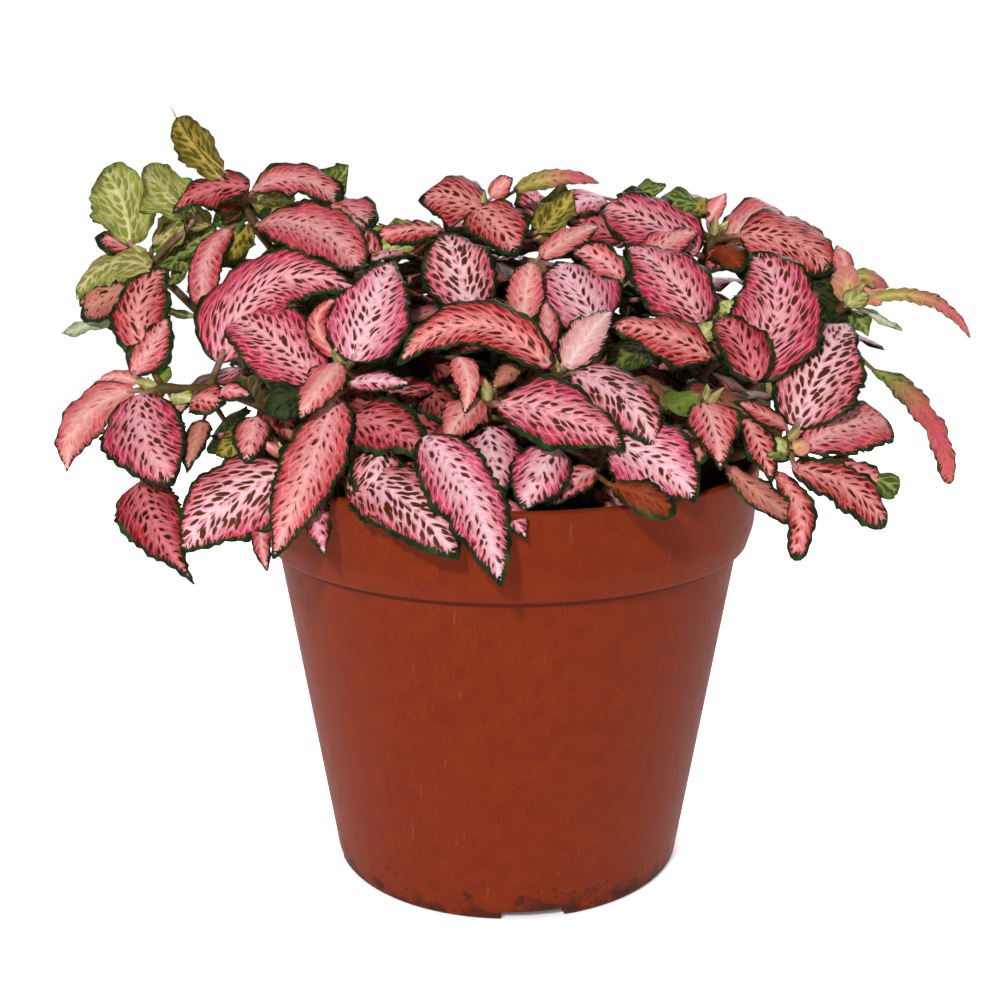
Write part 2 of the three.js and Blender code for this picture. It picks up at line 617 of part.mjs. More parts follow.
/** Every stem with its line and its leaves, those of the reference view first. */
function plantStems() {
  const seen = SEEN_STEMS.map((stem, number) => {
    const topDepth = moundDepth(stem.top);
    const top = pointInView(...stem.top, topDepth + stem.layer * LAYER_DEPTH);
    const by = (stem.by ?? []).map(
      (place) => placeNear(place, stem.layer + STEM_LAYER, stem.top, topDepth, STALK_SLANT).point);
    const line = stemLine(stem.hole, by, top);
    const leaves = seenLeaves(stem, number);
    if (number % LOWER_PAIR_EVERY === 1) {
      const turn = 360 * draw(number, 8);
      leaves.push(...pairOnStem(line, LOWER_PAIR, turn, LOWER_PLACE + 2 * number));
    }
    return { name: stem.name, hole: stem.hole, line, leaves };
  });
  const far = FAR_STEMS.map((stem, number) => {
    const turn = THREE.MathUtils.degToRad(stem.turn);
    const outward = new THREE.Vector3(Math.cos(turn), Math.sin(turn), 0);
    const hole = outward.clone().multiplyScalar(stem.hole);
    const top = outward.clone().multiplyScalar(stem.reach).setZ(stem.height);
    const line = stemLine([hole.x, hole.y], [], top);
    const first = FAR_PLACE + LEAVES_PER_STEM * number;
    const leaves = FAR_PAIRS.flatMap((pair, i) =>
      pairOnStem(line, pair, stem.turn + FIRST_PAIR_TURN + PAIR_TURN * i, first + 2 * i));
    return { name: stem.name, hole: [hole.x, hole.y], line, leaves };
  });
  return [...seen, ...far];
}

/** The point on a stem's centre line, straight between its steps, that a stalk grows from. */
function rootOnLine(line, foot) {
  const points = line.getSpacedPoints(STEM_STEPS);
  points[STEM_STEPS].lerp(points[STEM_STEPS - 1], TOP_MARGIN);
  const nearest = points.slice(1).map((end, i) =>
    new THREE.Line3(points[i], end).closestPointToPoint(foot, true, new THREE.Vector3()));
  const root = nearest.reduce((best, point) =>
    (point.distanceTo(foot) < best.distanceTo(foot) ? point : best));
  return root.addScaledVector(root.clone().sub(foot).normalize(), ROOT_SUNK);
}

/** Whether two solids' boxes meet. */
function boxesMeet(a, b) {
  return [0, 1, 2].every((k) => a.min[k] <= b.max[k] && b.min[k] <= a.max[k]);
}

/** Whether a solid stays out of every solid of the other pieces. */
function isClear(body, owner, placed) {
  const box = body.boundingBox();
  return placed.every((other) => other.owner === owner || !boxesMeet(box, other.box)
    || body.intersect(other.body).isEmpty());
}

/** A leaf's solid, bent clear of the other pieces, or null where no bend clears it. */
function leafSolid(leaf, owner, placed) {
  const { out } = bladeAxes(leaf, leaf.foot, leaf.tip);
  for (const [atFoot, atTip] of BENDS) {
    const foot = leaf.foot.clone().addScaledVector(out, atFoot);
    const tip = leaf.tip.clone().addScaledVector(out, atTip);
    if (isClear(leafBody(leaf, foot, tip, TEST_MARGIN), owner, placed)) {
      return leafBody(leaf, foot, tip, 0);
    }
  }
  return null;
}

/** Grows the leafy stems: all the stems first, then the leaves from the mound's surface inwards. */
function growStems(stems, potAndSoil) {
  const placed = potAndSoil.map((body) => ({ owner: "pot", body, box: body.boundingBox() }));
  const parts = new Map();
  for (const stem of stems) {
    const body = stemSolid(stem.hole, stem.line);
    parts.set(stem.name, [body]);
    placed.push({ owner: stem.name, body, box: body.boundingBox() });
  }
  const leaves = stems.flatMap((stem) => stem.leaves.map((leaf) => ({ ...leaf, stem })));
  leaves.sort((a, b) => a.order - b.order || a.place - b.place);
  for (const leaf of leaves) {
    const owner = leaf.stem.name;
    const body = leafSolid({ ...leaf, root: rootOnLine(leaf.stem.line, leaf.foot) }, owner, placed);
    if (body) {
      parts.get(owner).push(body);
      placed.push({ owner, body, box: body.boundingBox() });
    }
  }
  return parts;
}

/** The pot's outline from the middle of its underside round the wall to the floor's upper side. */
function potProfile() {
  const step = POT_HEIGHT - RIM_BAND_HEIGHT;
  const floor = FOOT_HEIGHT + FLOOR_THICKNESS;
  return [
    [0, FOOT_HEIGHT],
    [BASE_RADIUS - FOOT_WIDTH, FOOT_HEIGHT],
    [BASE_RADIUS - FOOT_WIDTH + FOOT_EDGE.inset, 0],
    [BASE_RADIUS - FOOT_EDGE.inset, 0],
    [BASE_RADIUS, FOOT_EDGE.rise],
    [BODY_TOP_RADIUS, step],
    [BODY_TOP_RADIUS + LEDGE.out, step + LEDGE.rise],
    [RIM_RADIUS - BAND_FOOT.inset, step + BAND_FOOT.rise],
    [RIM_RADIUS, POT_HEIGHT - LIP.drop],
    [RIM_RADIUS, POT_HEIGHT - LIP.edge],
    [RIM_RADIUS - LIP.edge, POT_HEIGHT],
    [RIM_RADIUS - LIP.width, POT_HEIGHT],
    [RIM_RADIUS - WALL - LIP.inset, POT_HEIGHT - LIP.bevel],
    [BODY_TOP_RADIUS + INNER_STEP.out, step + INNER_STEP.rise],
    [BODY_TOP_RADIUS - WALL, step - INNER_STEP.drop],
    [BASE_RADIUS - WALL, floor + FLOOR_CORNER],
    [BASE_RADIUS - WALL - FLOOR_CORNER, floor],
    [0, floor],
  ];
}

/** The pot: wall, rim band, foot ring with its notches, and floor with its drain holes. */
function potSolid() {
  let pot = solid(turned(potProfile()));
  for (let i = 0; i < NOTCH_COUNT; i += 1) {
    const turn = NOTCH_TURN + (i / NOTCH_COUNT) * 2 * Math.PI;
    const notch = new THREE.BoxGeometry(NOTCH_DEPTH, NOTCH_WIDTH, NOTCH_ROOF * 2);
    notch.translate(BASE_RADIUS, 0, 0).rotateZ(turn);
    const drain = new THREE.CylinderGeometry(DRAIN_RADIUS, DRAIN_RADIUS, CUT_LENGTH, DRAIN_SIDES);
    drain.rotateX(Math.PI / 2).translate(DRAIN_CIRCLE, 0, 0).rotateZ(turn);
    pot = pot.subtract(solid(notch)).subtract(solid(drain));
  }
  return pot;
}

/** The peat: it fills the pot to below the rim, low and crumbly on top, with a hole at each stem. */
function soilSolid(stems) {
  const step = POT_HEIGHT - RIM_BAND_HEIGHT;
  const floor = FOOT_HEIGHT + FLOOR_THICKNESS + GAP;
  const edge = BODY_TOP_RADIUS - WALL - GAP - SOIL_CLEARANCE;
  const low = BASE_RADIUS - WALL - GAP;
  const rise = (radius) => SOIL_DOME * (1 - (radius / edge) ** 2);
  const rings = SOIL_RINGS.map((share) => [edge * share, SOIL_TOP - SOIL_DOME + rise(edge * share)]);
  const geometry = turned([
    [0, floor],
    [low - SOIL_BEVEL, floor],
    [low, floor + SOIL_BEVEL],
    [edge, step - SOIL_SHOULDER],
    [edge + SOIL_FLARE, SOIL_TOP - SOIL_DOME],
    ...rings.reverse(),
    [0, SOIL_TOP],
  ]);
  const merged = mergeVertices(geometry.deleteAttribute("normal").deleteAttribute("uv"), WELD);
  const place = merged.attributes.position;
  for (let i = 0; i < place.count; i += 1) {
    const radius = Math.hypot(place.getX(i), place.getY(i));
    const inside = place.getZ(i) > SOIL_TOP - SOIL_DOME + SOIL_EDGE;
    if (inside && radius > SOIL_MIDDLE) {
      place.setZ(i, place.getZ(i) + SOIL_GRAIN * (draw(i, 9) - SOIL_GRAIN_SUNK));
    }
  }
  let soil = solid(merged);
  for (const stem of stems) {
    const radius = PEG_RADIUS + GAP + SOIL_CLEARANCE;
    const hole = new THREE.CylinderGeometry(radius, radius, ROOT_DEPTH * 2, STEM_SIDES);
    hole.rotateX(Math.PI / 2).translate(stem.hole[0], stem.hole[1], SOIL_TOP - GAP);
    soil = soil.subtract(solid(hole));
  }
  return soil;
}

/** A named mesh with its own material. */
function named(name, geometry, colour, roughness) {
  const material = new THREE.MeshStandardMaterial({ color: colour, roughness, metalness: 0 });
  const mesh = new THREE.Mesh(geometry, material);
  mesh.name = name;
  return mesh;
}

/** Joins a leafy stem's solids into one body and drops any scrap. */
function joined(bodies) {
  const whole = bodies.reduce((sum, body) => sum.add(body));
  const pieces = whole.decompose();
  return pieces.reduce((largest, piece) => (piece.volume() > largest.volume() ? piece : largest));
}

const stems = plantStems();
const pot = potSolid();
const soil = soilSolid(stems);
const plant = new THREE.Group();
plant.add(named("pot", geometryOf(pot), POT_COLOUR, POT_ROUGHNESS));
plant.add(named("soil", geometryOf(soil), SOIL_COLOUR, SOIL_ROUGHNESS));
for (const [name, bodies] of growStems(stems, [pot, soil])) {
  plant.add(named(name, geometryOf(joined(bodies)), STEM_COLOUR, STEM_ROUGHNESS));
}

// The origin is the middle of the whole plant's footprint, at the level of the pot's foot.
const reach = new THREE.Box3().setFromObject(plant);
const middle = reach.getCenter(new THREE.Vector3());
plant.position.set(-middle.x, -middle.y, 0);

export default plant;
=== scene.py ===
"""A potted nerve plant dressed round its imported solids: fine leaves, stems, peat and pot.

Sizes are millimetres in the plant's own frame, whose Z axis is the pot's, until a mesh is written.
"""
import sys

import logging
import math
from dataclasses import dataclass, field, replace
from enum import Enum, IntEnum
from typing import Any, Iterable, Sequence

import bpy
import numpy as np
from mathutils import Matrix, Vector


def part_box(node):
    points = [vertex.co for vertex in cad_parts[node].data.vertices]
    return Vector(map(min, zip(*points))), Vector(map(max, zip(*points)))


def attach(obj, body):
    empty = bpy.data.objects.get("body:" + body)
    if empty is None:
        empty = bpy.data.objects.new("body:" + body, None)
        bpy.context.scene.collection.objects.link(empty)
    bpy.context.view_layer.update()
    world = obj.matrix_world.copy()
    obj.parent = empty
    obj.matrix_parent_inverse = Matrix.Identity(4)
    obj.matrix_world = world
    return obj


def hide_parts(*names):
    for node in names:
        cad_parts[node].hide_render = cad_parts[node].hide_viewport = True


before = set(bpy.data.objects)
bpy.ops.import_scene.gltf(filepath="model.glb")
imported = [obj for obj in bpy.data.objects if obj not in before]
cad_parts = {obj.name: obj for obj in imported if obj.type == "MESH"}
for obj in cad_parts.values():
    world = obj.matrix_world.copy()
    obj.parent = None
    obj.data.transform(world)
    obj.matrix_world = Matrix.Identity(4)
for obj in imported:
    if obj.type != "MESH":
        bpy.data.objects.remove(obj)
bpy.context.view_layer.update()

LOG = logging.getLogger("nerve_plant")
METRES_PER_MM = 0.001
SEED = 7.31
# What a place, and what a lattice's column, row and kind are multiplied by before the sine, and
# what the sine is multiplied by, so that its later digits look random.
DRAW_STEPS = (12.9898, 78.233)
LATTICE_STEPS = (127.1, 311.7, 74.7)
SCRAMBLE = 43758.5453
TUBE_CAP = 0.3
STEM_BROWN = "#3E2412"
BROWN_SHARE = 0.6
PLACE_TRAITS = ("vein_place", "leaf_zone", "leaf_nature")
# Attribute types by how many numbers a point has: the type, and the name of its values.
TRAIT_KINDS = {3: ("FLOAT_VECTOR", "vector"), 4: ("FLOAT_COLOR", "color")}
SOIL_TOP = 91
# Where the leaves' numbers in the plant start: each kind has its own, and a stem its share.
LOWER_PLACES, FAR_PLACES, BUD_PLACES, INNER_PLACES, MORE_PLACES = 1000, 2000, 3000, 4000, 6000
STEM_PLACES = 20
FAR_NUMBER = 30
Point = Sequence[float]
Span = tuple[float, float]


def linear(hex_colour: str) -> tuple[float, float, float, float]:
    """Turns an sRGB hex colour into linear light: a power of 2.4 above the dark straight part.

    Args:
        hex_colour: the colour as "#RRGGBB".

    Returns:
        Red, green, blue and a full alpha.
    """
    shares = [int(hex_colour[i:i + 2], 16) / 255 for i in (1, 3, 5)]
    light = [s / 12.92 if s <= 0.04045 else ((s + 0.055) / 1.055) ** 2.4 for s in shares]
    return (*light, 1.0)


def unit(vectors: np.ndarray) -> np.ndarray:
    """Returns each vector divided by its own length."""
    return vectors / np.maximum(np.linalg.norm(vectors, axis=-1, keepdims=True), 1e-12)


def dot(a: np.ndarray, b: np.ndarray) -> np.ndarray:
    """Returns the dot product of each pair of vectors, kept as a column."""
    return np.sum(a * b, axis=-1, keepdims=True)


def draw(place: float, kind: float) -> float:
    """Draws a repeatable number: what stands after the point of a large multiple of a sine.

    Args:
        place: the number of the leaf or stem in the plant.
        kind: which of its properties the number is for.

    Returns:
        A number from 0 to 1.
    """
    value = math.sin(place * DRAW_STEPS[0] + kind * DRAW_STEPS[1] + SEED) * SCRAMBLE
    return value - math.floor(value)


def lumps(x: np.ndarray, y: np.ndarray, size: float, kind: float) -> np.ndarray:
    """Works out a soft random relief: a random height at each lattice point, eased between them.

    Args:
        x: places along one side.
        y: places along the other, of the same shape.
        size: the lattice's spacing, in the unit of the places.
        kind: which relief of several this is.

    Returns:
        Heights from 0 to 1.
    """
    column, row = np.floor(x / size), np.floor(y / size)
    across, up = x / size - column, y / size - row
    across, up = across ** 2 * (3 - 2 * across), up ** 2 * (3 - 2 * up)
    by_column, by_row, by_kind = LATTICE_STEPS

    def corner(step: int, rise: int) -> np.ndarray:
        """Returns the random height of one lattice point of each place's cell."""
        value = np.sin((column + step) * by_column + (row + rise) * by_row + kind * by_kind)
        return value * SCRAMBLE - np.floor(value * SCRAMBLE)

    low = corner(0, 0) * (1 - across) + corner(1, 0) * across
    high = corner(0, 1) * (1 - across) + corner(1, 1) * across
    return low * (1 - up) + high * up


# ---- Looks of the leaves ----

@dataclass(frozen=True)
class Tone:
    """How one side of a leaf is coloured.

    heart is the flesh by the midrib, blush the flesh by the margin, mark the net's dark cells.
    tip, where given, is what both turn to towards the leaf's tip, from turns_at of its length on.
    cells is how large the dark cells are, from 0 for none to 1, rim how wide the green margin
    is, in millimetres, margin its colour, and spread how much further the heart reaches out, as
    a share of the half width.
    """
    heart: str
    blush: str
    mark: str = "#4C270E"
    tip: str | None = None
    cells: float = 0.6
    rim: float = 1.0
    turns_at: float = 0.3
    margin: str = "#15280B"
    spread: float = 0


class Look(Enum):
    """The looks that the leaves of one plant have, from grown and netted to young and plain."""
    PALE = Tone("#F7C8D0", "#CE2E5A", cells=0.6, spread=0.08)
    ROSE = Tone("#F1AEB8", "#C22048", cells=0.7, spread=0.02)
    RED = Tone("#EC9E98", "#B01E2C", mark="#4C180A", cells=0.58)
    DEEP = Tone("#D87A7C", "#981426", mark="#34100C", cells=0.6)
    NETTED = Tone("#F4C2C8", "#C4284A", cells=0.88, spread=0.16)
    PINK = Tone("#ECAAA6", "#C63C4A", mark="#5A2014", cells=0.42)
    SALMON = Tone("#EEB2A8", "#D05A5E", mark="#A0383E", cells=0.22, rim=0.5)
    CREAM = Tone("#F4D0CA", "#DE8E92", mark="#C0645E", cells=0.08, rim=0.5)
    DUSTY = Tone("#CE8C78", "#AC5850", mark="#54301E", cells=0.3)
    OLIVE = Tone("#BCA650", "#85742A", mark="#5A5218", cells=1.0, rim=0.4, margin="#4A4A18")
    LIME = Tone("#D8D296", "#A0A24E", mark="#868C3E", cells=1.0, rim=0.5, margin="#5E742E")
    GREEN = Tone("#9CA058", "#5A6E2A", mark="#425420", cells=1.0, rim=0.5, margin="#2C4018")
    FRESH = Tone("#8A9A42", "#5E7428", mark="#465E1E", cells=0.3, rim=0.2, margin="#3E5A1C")
    # Painted shade: a near-black leaf that fills a dark gap where the plant shows only shadow.
    SHADE = Tone("#3C4020", "#2A3216", mark="#1A200C", cells=0.8)
    BACK = Tone("#C8BE84", "#948C4A", mark="#7C7A38", cells=1.0, rim=0.4, margin="#5A6A2C")
    GHOST = Tone("#C9CFB0", "#A3AE86", mark="#8E9A70", cells=0.3, rim=0.3, margin="#6E7A50")
    TURNING = Tone("#C4B068", "#8E8436", mark="#66642A", tip="#C86468", cells=0.6, rim=0.3,
                   margin="#4A5424")
    HANGING = Tone("#98A052", "#66762E", mark="#4A5824", tip="#D05A62", cells=0.3, rim=0.4,
                   turns_at=0.12, margin="#3A4420")
    DAWN = Tone("#E2C486", "#D2826A", mark="#9C8A3C", tip="#DE8A84", cells=0.3, rim=0.3,
                margin="#7A7A34")
    # Painted shade: brown-red for a leaf that lies in shadow beside the pot.
    RUST = Tone("#98421E", "#6E2A12", mark="#42200E", cells=0.2)


GROWN_BY_RULE = (Look.PALE, Look.ROSE, Look.RED, Look.PINK, Look.NETTED, Look.ROSE)
INNER_BY_RULE = (Look.DEEP, Look.RED, Look.ROSE, Look.DUSTY, Look.DEEP, Look.GREEN, Look.PINK)


@dataclass(frozen=True)
class LeafPlan:
    """One leaf as the reference view shows it.

    start and end are its blade's foot and tip as (column, row), width is in millimetres, layer
    counts the leaves over it, bow is how far its midrib swings to its left as a share of its
    length, turn rolls it about its length, in degrees, and under shows its lower side. The rest
    sets the fine blade apart from its plain solid: broad widens it, blunt is the power that its
    tip narrows with, swing adds to its bow, moved shifts it in the view, nearer brings it
    towards the eye and tucked takes its tip back from the eye, in millimetres.
    """
    start: Point
    end: Point
    width: float
    layer: float
    look: Look
    bow: float | None = None
    turn: float = 0
    under: bool = False
    broad: float = 1
    blunt: float | None = None
    swing: float = 0
    moved: Point = (0, 0)
    nearer: float = 0
    tucked: float = 0


@dataclass(frozen=True)
class StemPlan:
    """A leafy stem: where it leaves the peat, and its top, way and leaves in the view.

    more holds small leaves that only the fine piece has.
    """
    name: str
    hole: Point
    top: Point
    layer: float
    leaves: tuple[LeafPlan, ...]
    by: tuple[Point, ...] = ()
    more: tuple[LeafPlan, ...] = ()


@dataclass(frozen=True)
class FarStemPlan:
    """A stem on the far side: its turn round the pot, where it leaves the peat, and its top."""
    name: str
    turn: float
    hole: float
    reach: float
    height: float


@dataclass(frozen=True)
class PairPlan:
    """A pair of opposite leaves set out by rule on a stem.

    at is its share of the stem's length, length and width are its blades' sizes in
    millimetres, and droop is how steeply they hang from level, in degrees.
    """
    at: float
    length: float
    width: float
    droop: float


SEEN_STEMS = (
    StemPlan("stem_front_left", (-24, -27), (344, 368), 1.4, (
        LeafPlan((353, 362), (393, 255), 14.5, 0, Look.PALE, broad=1.2),
        LeafPlan((336, 357), (349, 293), 4.5, 0.3, Look.RED, bow=0.34),
        LeafPlan((340, 363), (299, 418), 8.5, -0.3, Look.SALMON),
        LeafPlan((348, 383), (413, 383), 4.5, 0.3, Look.PALE),
        LeafPlan((335, 395), (270, 558), 13.5, 0.3, Look.PINK, bow=0.04, broad=0.95, tucked=4),
        LeafPlan((345, 420), (428, 457), 10.5, 0.6, Look.DEEP, bow=0.08, broad=1.2),
        LeafPlan((318, 385), (224, 320), 15.5, 1, Look.ROSE, bow=-0.05),
        LeafPlan((382, 443), (373, 513), 11, 0.9, Look.NETTED),
        LeafPlan((355, 465), (320, 478), 6.5, 1.6, Look.RED),
        LeafPlan((352, 480), (463, 571), 14.5, 1.2, Look.NETTED, bow=0.04),
        LeafPlan((312, 490), (325, 559), 6.5, 1.5, Look.ROSE),
    )),
    StemPlan("stem_front_low_left", (-37, -23), (285, 455), 2.4, (
        LeafPlan((285, 470), (176, 551), 16.5, 1.2, Look.NETTED, bow=-0.06, broad=1.02, blunt=0.95,
                 moved=(3, 4)),
        LeafPlan((242, 428), (211, 454), 7, 1.8, Look.OLIVE, under=True, broad=0.8, moved=(5, 3)),
        LeafPlan((256, 416), (245, 465), 8, 1.6, Look.PINK),
        LeafPlan((262, 525), (267, 571), 4, 2, Look.PINK),
    )),
    StemPlan("stem_front_middle", (-7, -39), (488, 402), 1.6, (
        LeafPlan((497, 405), (627, 449), 13, 0, Look.ROSE, bow=0.05),
        LeafPlan((456, 357), (463, 415), 5.5, 0.6, Look.SALMON, bow=0.12),
        LeafPlan((517, 365), (491, 391), 5, 1.4, Look.DUSTY),
        LeafPlan((478, 398), (445, 440), 8, 1, Look.SALMON),
        LeafPlan((485, 426), (498, 501), 12, 1.5, Look.PALE),
        LeafPlan((424, 436), (502, 585), 14, 0.6, Look.PALE, bow=0.05, broad=0.94, tucked=4),
        LeafPlan((500, 505), (522, 534), 4.5, 1.8, Look.PINK),
    ), more=(
        LeafPlan((500, 500), (527, 538), 6, 0.6, Look.ROSE, nearer=2),
    )),
    StemPlan("stem_front_centre", (9, -25), (560, 374), 1.4, (
        LeafPlan((550, 368), (394, 363), 9.5, 0.2, Look.RED, bow=-0.26),
        LeafPlan((566, 369), (613, 308), 8.5, -0.2, Look.CREAM),
        LeafPlan((573, 372), (656, 449), 12.5, 0, Look.NETTED, bow=0.1),
        LeafPlan((600, 408), (657, 456), 7, 0.9, Look.RED),
    )),
    StemPlan("stem_upper_middle", (-5, -9), (500, 318), 2.6, (
        LeafPlan((470, 312), (443, 229), 15, 0.9, Look.NETTED),
        LeafPlan((522, 324), (533, 259), 8.5, 0.8, Look.SALMON),
        LeafPlan((548, 351), (544, 297), 5, 1, Look.PINK),
        LeafPlan((540, 258), (600, 226), 6.5, 1.4, Look.SALMON),
    )),
    StemPlan("stem_top_centre", (-5, 12), (482, 212), 1.6, (
        LeafPlan((480, 210), (417, 199), 11, 0.3, Look.RED, bow=-0.1),
        LeafPlan((478, 208), (518, 256), 14, 0.4, Look.RED),
        LeafPlan((491, 198), (513, 177), 5, 0.8, Look.SALMON),
        LeafPlan((513, 192), (601, 184), 5.5, 1.4, Look.TURNING, bow=0.12, turn=50, broad=0.8),
        LeafPlan((537, 234), (575, 192), 8, 1.3, Look.OLIVE, under=True),
        LeafPlan((534, 240), (566, 214), 6.5, 1.6, Look.LIME, under=True),
        LeafPlan((436, 262), (398, 236), 6, 1.6, Look.DUSTY),
        LeafPlan((415, 248), (363, 226), 5.5, 1.8, Look.OLIVE),
    ), more=(
        LeafPlan((442, 230), (366, 240), 5, 1.2, Look.RED, blunt=0.7),
        LeafPlan((420, 234), (384, 232), 6, 1.6, Look.OLIVE, blunt=0.7),
        LeafPlan((414, 243), (376, 251), 5, 1.4, Look.LIME),
        LeafPlan((500, 240), (542, 250), 8, 2.0, Look.DEEP),
    )),
    StemPlan("stem_centre_right", (15, -5), (612, 300), 2.2, (
        LeafPlan((597, 322), (556, 258), 17, 0.5, Look.PALE, broad=1.15),
        LeafPlan((623, 280), (565, 248), 7.5, 1, Look.PINK, bow=-0.06),
        LeafPlan((640, 262), (700, 232), 8, 1.8, Look.PINK),
    )),
    StemPlan("stem_right_centre", (29, -15), (722, 352), 1.6, (
        LeafPlan((702, 324), (624, 242), 13, 0.3, Look.ROSE, bow=-0.05, broad=1.15),
        LeafPlan((712, 357), (607, 324), 9.5, 0.1, Look.RED, bow=-0.05),
        LeafPlan((699, 340), (713, 320), 4.5, 0.3, Look.LIME),
        LeafPlan((734, 362), (718, 308), 9, 0.5, Look.RED),
        LeafPlan((736, 374), (747, 245), 17.5, 0, Look.ROSE, bow=-0.28, broad=1.12, swing=0.08,
                 moved=(4, 2)),
    ), more=(
        LeafPlan((757, 382), (715, 314), 11, -0.9, Look.DEEP, bow=-0.04, blunt=0.8),
        LeafPlan((735, 323), (721, 300), 4.5, -0.2, Look.LIME),
        LeafPlan((736, 322), (735, 296), 4, -0.1, Look.SALMON),
        LeafPlan((737, 323), (749, 308), 4, -0.2, Look.DAWN),
        LeafPlan((733, 322), (718, 316), 3.5, -0.2, Look.OLIVE),
    )),
    StemPlan("stem_back_right", (27, 17), (715, 236), 1.8, (
        LeafPlan((697, 255), (598, 205), 11, 0.3, Look.ROSE, bow=-0.05, broad=1.15, blunt=0.7),
        LeafPlan((605, 198), (563, 210), 5, 1.2, Look.PALE, broad=1.5, blunt=0.6),
        LeafPlan((641, 209), (616, 194), 5, 1.4, Look.PALE),
        LeafPlan((634, 192), (667, 186), 4.5, 1.8, Look.GREEN, under=True),
        LeafPlan((706, 198), (679, 222), 5.5, 1, Look.OLIVE, under=True),
        LeafPlan((707, 222), (726, 192), 4.5, 1, Look.SALMON),
        LeafPlan((728, 232), (787, 204), 7, 0.8, Look.SALMON, bow=0.1, broad=1.45, blunt=0.5,
                 moved=(-1, 9)),
        LeafPlan((734, 236), (827, 273), 10.5, 0.4, Look.RED, bow=0.12, broad=1.2, blunt=0.7,
                 moved=(5, 0)),
        LeafPlan((800, 223), (830, 261), 5, 1, Look.PINK),
    ), more=(
        LeafPlan((712, 212), (656, 200), 6.5, 1.4, Look.GREEN, blunt=0.7),
        LeafPlan((656, 208), (618, 196), 6.5, 1.7, Look.SHADE),
        LeafPlan((718, 244), (742, 272), 8, 2.0, Look.RUST, blunt=0.8),
        LeafPlan((624, 240), (566, 217), 8, 2.0, Look.DEEP, blunt=0.7),
        LeafPlan((738, 242), (708, 272), 8, 2.2, Look.DEEP, blunt=0.7),
        LeafPlan((730, 262), (762, 262), 8, 2.4, Look.SHADE),
    )),
    StemPlan("stem_right_upper", (43, 3), (850, 300), 1, (
        LeafPlan((847, 276), (837, 244), 4.5, 0.6, Look.SALMON),
        LeafPlan((852, 308), (971, 342), 5, 0.4, Look.TURNING, bow=0.2, turn=35, broad=0.62,
                 blunt=0.6, swing=-0.02, moved=(3, -3)),
        LeafPlan((858, 312), (902, 336), 4, 1, Look.GHOST, bow=0.1, under=True, broad=0.5,
                 swing=-0.2, moved=(0, -3)),
        LeafPlan((852, 275), (890, 287), 4, 0.4, Look.TURNING),
        LeafPlan((866, 369), (947, 484), 7, 0.8, Look.HANGING, bow=0.15, broad=0.75, blunt=0.5,
                 swing=-0.05, moved=(5, 0)),
    ), more=(
        LeafPlan((848, 305), (886, 283), 8, 0.2, Look.DAWN, blunt=0.8),
        LeafPlan((848, 304), (846, 262), 6.5, 0.6, Look.DAWN, blunt=0.7),
        LeafPlan((846, 306), (868, 292), 5, -0.1, Look.LIME),
        LeafPlan((854, 308), (812, 270), 11, 1.2, Look.SHADE, blunt=0.6),
        LeafPlan((850, 312), (818, 306), 9, 1.5, Look.SHADE, blunt=0.6),
        LeafPlan((850, 310), (869, 336), 5, 1.2, Look.GREEN),
    )),
    StemPlan("stem_right_low", (41, -20), (790, 440), 1, (
        LeafPlan((789, 428), (848, 318), 15, 0.2, Look.NETTED, bow=0.04, broad=1.2, moved=(7, 0)),
        LeafPlan((801, 446), (893, 419), 10, 0, Look.PINK, bow=0.06, broad=1.25, blunt=0.5,
                 moved=(2, 3)),
        LeafPlan((813, 453), (898, 487), 6.5, 0.5, Look.PINK, bow=0.05, broad=0.9, blunt=0.6,
                 moved=(0, 10)),
        LeafPlan((790, 464), (888, 524), 8.5, 0.5, Look.RED, bow=0.08, blunt=0.5, moved=(1, 3)),
        LeafPlan((774, 467), (798, 557), 6, 0.4, Look.RED, bow=0.14, broad=0.9, blunt=0.4,
                 moved=(-3, 3)),
        LeafPlan((745, 419), (773, 482), 6, 0.8, Look.RED),
        LeafPlan((788, 428), (733, 400), 4.5, 0.6, Look.RED),
    ), more=(
        LeafPlan((872, 478), (898, 494), 5.5, 0.3, Look.GREEN, blunt=0.4),
        LeafPlan((786, 452), (770, 440), 4.5, 0.2, Look.LIME),
        LeafPlan((786, 454), (766, 456), 4, 0.3, Look.GREEN),
        LeafPlan((792, 448), (812, 444), 4, 0.1, Look.DAWN),
    )),
    StemPlan("stem_front_right", (30, -36), (706, 404), 1.6, (
        LeafPlan((703, 403), (721, 470), 10, 0.1, Look.PINK),
        LeafPlan((700, 402), (667, 416), 5, 0.6, Look.FRESH, under=True, broad=1.5, blunt=0.4,
                 moved=(-2, -8)),
        LeafPlan((709, 430), (689, 473), 6, 1, Look.PINK),
        LeafPlan((724, 471), (801, 529), 6, 0.6, Look.DUSTY, bow=-0.08, broad=0.9,
                 blunt=0.6, moved=(3, -5)),
    )),
    StemPlan("stem_front_low_right", (16, -42), (604, 450), 2.2, (
        LeafPlan((610, 440), (698, 500), 15, 0.6, Look.PALE, bow=0.05),
        LeafPlan((612, 487), (675, 517), 7, 1.6, Look.RUST, blunt=0.5, nearer=9),
        LeafPlan((556, 447), (522, 513), 10.5, 1.1, Look.PALE, broad=1.2),
        LeafPlan((595, 470), (545, 507), 6.5, 1.5, Look.PINK),
    )),
    StemPlan("stem_back_left", (-29, 15), (240, 200), 1.4, (
        LeafPlan((231, 177), (184, 116), 9, 0.6, Look.OLIVE, under=True, broad=0.85, blunt=0.5,
                 moved=(-9, 2)),
        LeafPlan((250, 187), (170, 213), 7.5, 0.2, Look.DEEP, bow=-0.12),
        LeafPlan((252, 184), (340, 196), 7.5, 0.2, Look.PINK, bow=0.2, blunt=0.5, moved=(0, 7)),
        LeafPlan((322, 197), (350, 165), 6.5, 1.2, Look.GREEN, under=True),
